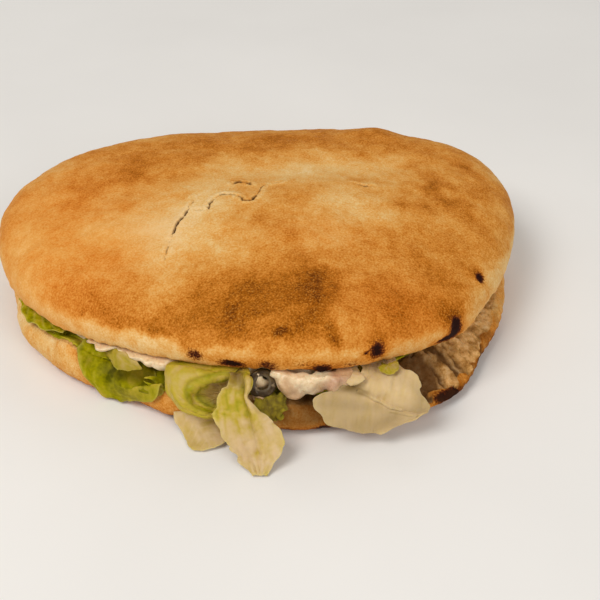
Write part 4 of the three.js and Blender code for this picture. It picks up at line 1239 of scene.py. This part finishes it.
            (0.2, -0.9, 0.2, 0.5, 0.2),
        ],
        shades=[
            (0.54, 0, 0.018, 2, 0.3), (0.7, 0, 0.02, 2, 0.3), (0.9, 0, 0.14, 3, 0.22),
            (0.2, -0.9, 0.12, 0.5, 0.3),
        ],
        # painted shade inside the curl
        browns_and_shades=[(0.86, -0.3, 0.12, 1.2, 1), (0.95, 0, 0.1, 3, 0.8)],
    ),
}

# Where the curled leaf's middle is, and how far its open side leans back.
CURL_MIDDLE = (-23.1, -96.0, 18.4)
CURL_LEAN = 36.0
CURL_FLAT = (24.0, 30.0)  # half its width, and its length, were it laid out flat

LEAF_RAMP = [
    (0, (212, 184, 138)), (0.22, (201, 173, 108)), (0.45, (188, 164, 54)), (0.7, (156, 148, 2)),
    (1, (88, 86, 0)),
]

# How rough each kind of leaf is at least, how much it shines, and how mottled it is.
LEAF_LOOKS = {
    "lettuce_green": (0.4, 0.03, 0.09), "lettuce_pale": (0.34, 0.18, 0.05),
    "lettuce_white": (0.4, 0.14, 0.04), "lettuce_bed": (0.45, 0.08, 0.09),
}


def leaf_material(name, gloss, shine, mottled):
    s = Shader(name)
    fine, blotch = s.noise(1.6, 3.0, 0.6), s.noise(6.0, 3.0, 0.6)
    tint = s.vary(s.vary(s.attribute("tint"), blotch, mottled), fine, mottled, clamp=True)
    base = s.mix(s.part("vein", 0.45), s.ramp(tint, LEAF_RAMP), colour(226, 210, 140))
    # mixes in brown: the leaves' own browning, and painted shade inside the curled leaf and in the long
    # leaf's hollow
    base = s.mix(s.part("brown_and_shade", 0.6), base, colour(168, 128, 84))
    dark = s.mix(s.attribute("shade"), (1, 1, 1, 1), (0.30, 0.26, 0.14, 1))
    s.set(Base_Color=s.mix(1.0, base, dark, "MULTIPLY"), Specular_IOR_Level=shine)
    s.set(Roughness=s.spread(fine, 0.3, 0.7, gloss, gloss + 0.18))
    s.set(Subsurface_Weight=0.35, Subsurface_Scale=0.002, Subsurface_Radius=(1.0, 0.9, 0.35))
    under = s.bump(s.noise(2.8, 2.0, 0.5), 0.2, 0.4)
    s.set(Normal=s.bump(s.noise(0.9, 2.0, 0.6), 0.1, 0.5, under))
    return s.material


# ---------------------------------------------------------------- olive slices

# Each slice: [middle, tilt, turn, seed].
OLIVES = {"olive_front": ((3.8, -93, 24.6), 38, 6, 211), "olive_left": ((-65.5, -61.5, 22.8), 82, -30, 221)}
OLIVE_OUTER, OLIVE_HOLE, OLIVE_THICK = 6.3, 2.8, 2.8
OLIVE_BOXY = 3.2  # how square a slice's wall is: 2 would be round


def olive_slice(name, at, tilt, turn, seed):
    """A ring cut from an olive, with rounded skin, flat cut faces and a slightly squashed outline."""
    around, sides = 150, 44
    turns = [np.arange(n) * 2 * math.pi / n for n in (around, sides)]
    phi, theta = np.meshgrid(*turns, indexing="ij")
    middle, wall = (OLIVE_OUTER + OLIVE_HOLE) / 2, (OLIVE_OUTER - OLIVE_HOLE) / 2
    across, deep = np.cos(theta), np.sin(theta)
    boxy = (np.abs(across) ** OLIVE_BOXY + np.abs(deep) ** OLIVE_BOXY) ** (-1 / OLIVE_BOXY)
    radius = middle + wall * across * boxy * (1 + 0.05 * np.sin(3 * phi + 1))
    radius = radius * (1 + 0.03 * np.sin(2 * phi) + 0.015 * np.sin(5 * phi))
    height = OLIVE_THICK / 2 * deep * boxy
    ring = np.stack([radius * np.cos(phi), height, radius * np.sin(phi)], 2).reshape(-1, 3)
    ring = ring + 0.12 * fractal(ring, 2.2, 2, seed)[:, None]
    x, y, z = ring.T
    y, z = turned(y, z, -tilt)
    x, y = turned(x, y, turn)
    points = np.stack([x, y, z], 1) + np.array(at)
    faces = quads(around, sides, wrap_columns=True, wrap_rows=True).tolist()
    obj = object_of(name, mesh_of(name, points, faces))
    hole = smooth_step(OLIVE_HOLE + 1.5, OLIVE_HOLE + 0.2, radius)
    paint(obj, flesh=smooth_step(0.55, 0.8, np.abs(deep * boxy)).ravel(), hole=hole.ravel())
    return obj


def olive_material():
    s = Shader("black_olive")
    fine, blotch = s.noise(1.2, 3.0, 0.6), s.noise(3.5, 3.0, 0.6)
    skin = s.ramp(blotch, [(0.3, (36, 28, 18)), (0.7, (70, 56, 38))])
    flesh = s.ramp(blotch, [(0.3, (50, 37, 22)), (0.55, (74, 56, 31)), (0.75, (118, 94, 52))])
    base = s.mix(s.attribute("flesh"), skin, flesh)
    base = s.mix(s.part("hole", 0.6), base, colour(120, 108, 88))
    smear = s.spread(s.noise(4.0, 2.0, 0.5), 0.62, 0.72)
    base = s.mix(s.math("MULTIPLY", smear, 0.7), base, colour(206, 180, 140))
    s.set(Base_Color=base, Roughness=s.spread(fine, 0.3, 0.7, 0.22, 0.4), Normal=s.bump(fine, 0.12, 0.5))
    s.set(Specular_IOR_Level=0.14, Coat_Weight=0.04, Coat_Roughness=0.12)
    return s.material


# ---------------------------------------------------------------- floor, lights and camera

CAMERA_AIM = (19.8, -32.0, 24.0)
CAMERA_DISTANCE = 520.0
CAMERA_ELEVATION = 36.0
CAMERA_LENS = 66.3
SENSOR = 36.0

FLOOR_SIZE = 3000.0
FLOOR_DROP = 0.3  # just under the part, so that no two faces lie in one plane

# Area lights: [place, what they point at, width, watts, colour].
LIGHTS = {
    "key": ((-900, -800, 1600), (0, 0, 20), 950, 21.5, (1.0, 0.97, 0.92)),
    "fill": ((900, -1300, 950), (20, -40, 20), 1000, 10, (1.0, 0.98, 0.95)),
    "rim": ((300, 1250, 1250), (0, 20, 30), 900, 3.2, (1.0, 0.98, 0.96)),
}


def aim(obj, place, target):
    obj.location = Vector(place) * MM
    obj.rotation_euler = (Vector(target) - Vector(place)).to_track_quat("-Z", "Y").to_euler()


def add_camera():
    data = bpy.data.cameras.new("camera")
    data.lens = CAMERA_LENS
    data.sensor_width = SENSOR
    data.clip_start = 0.01
    camera = object_of("camera", data)
    rise = math.radians(CAMERA_ELEVATION)
    back = Vector((0, -math.cos(rise), math.sin(rise)))
    aim(camera, Vector(CAMERA_AIM) + CAMERA_DISTANCE * back, CAMERA_AIM)
    bpy.context.scene.camera = camera


def add_floor():
    corners = [(x * FLOOR_SIZE, y * FLOOR_SIZE, -FLOOR_DROP) for x, y in ((-1, -1), (1, -1), (1, 1), (-1, 1))]
    floor = object_of("floor", mesh_of("floor", corners, [(0, 1, 2, 3)]))
    s = Shader("pale_floor")
    tone = s.spread(s.noise(160, 3.0, 0.5), 0.3, 0.7)
    s.set(Base_Color=s.mix(tone, colour(238, 236, 233), colour(243, 241, 238)), Roughness=0.85)
    s.set(Normal=s.bump(s.noise(1.5, 2.0, 0.5), 0.03, 0.4))
    floor.data.materials.append(s.material)


def add_lights():
    world = bpy.data.worlds.new("studio")
    world.use_nodes = True
    background = world.node_tree.nodes["Background"]
    background.inputs["Color"].default_value = (1.0, 0.985, 0.96, 1)
    background.inputs["Strength"].default_value = 0.32
    bpy.context.scene.world = world
    for name, (place, target, width, watts, tone) in LIGHTS.items():
        data = bpy.data.lights.new(name, "AREA")
        data.size = width * MM
        data.energy = watts
        data.color = tone
        aim(object_of(name, data), place, target)


bpy.context.scene.view_settings.view_transform = "Standard"
bpy.context.scene.view_settings.look = "None"
add_camera()
add_floor()
add_lights()

crust = crust_material()
finish_piece(upper_bread(), crust, "crust", "bread_top")
finish_piece(lower_bread(), crust, "crust", "bread_bottom")
finish_piece(salad(), salad_material(), "salad", "salad_layer")
leaf_looks = {slot: leaf_material(slot, *look) for slot, look in LEAF_LOOKS.items()}
finish_piece(lettuce_bed(), leaf_looks["lettuce_bed"], "lettuce_bed", "lettuce_bed")
for leaf_name, leaf in LEAVES.items():
    finish_piece(leaf_object(leaf_name + "_leaf", leaf), leaf_looks[leaf["slot"]], leaf["slot"], leaf_name)
olive_look = olive_material()
for olive_name, slice_facts in OLIVES.items():
    finish_piece(olive_slice(olive_name + "_ring", *slice_facts), olive_look, "olive", olive_name)
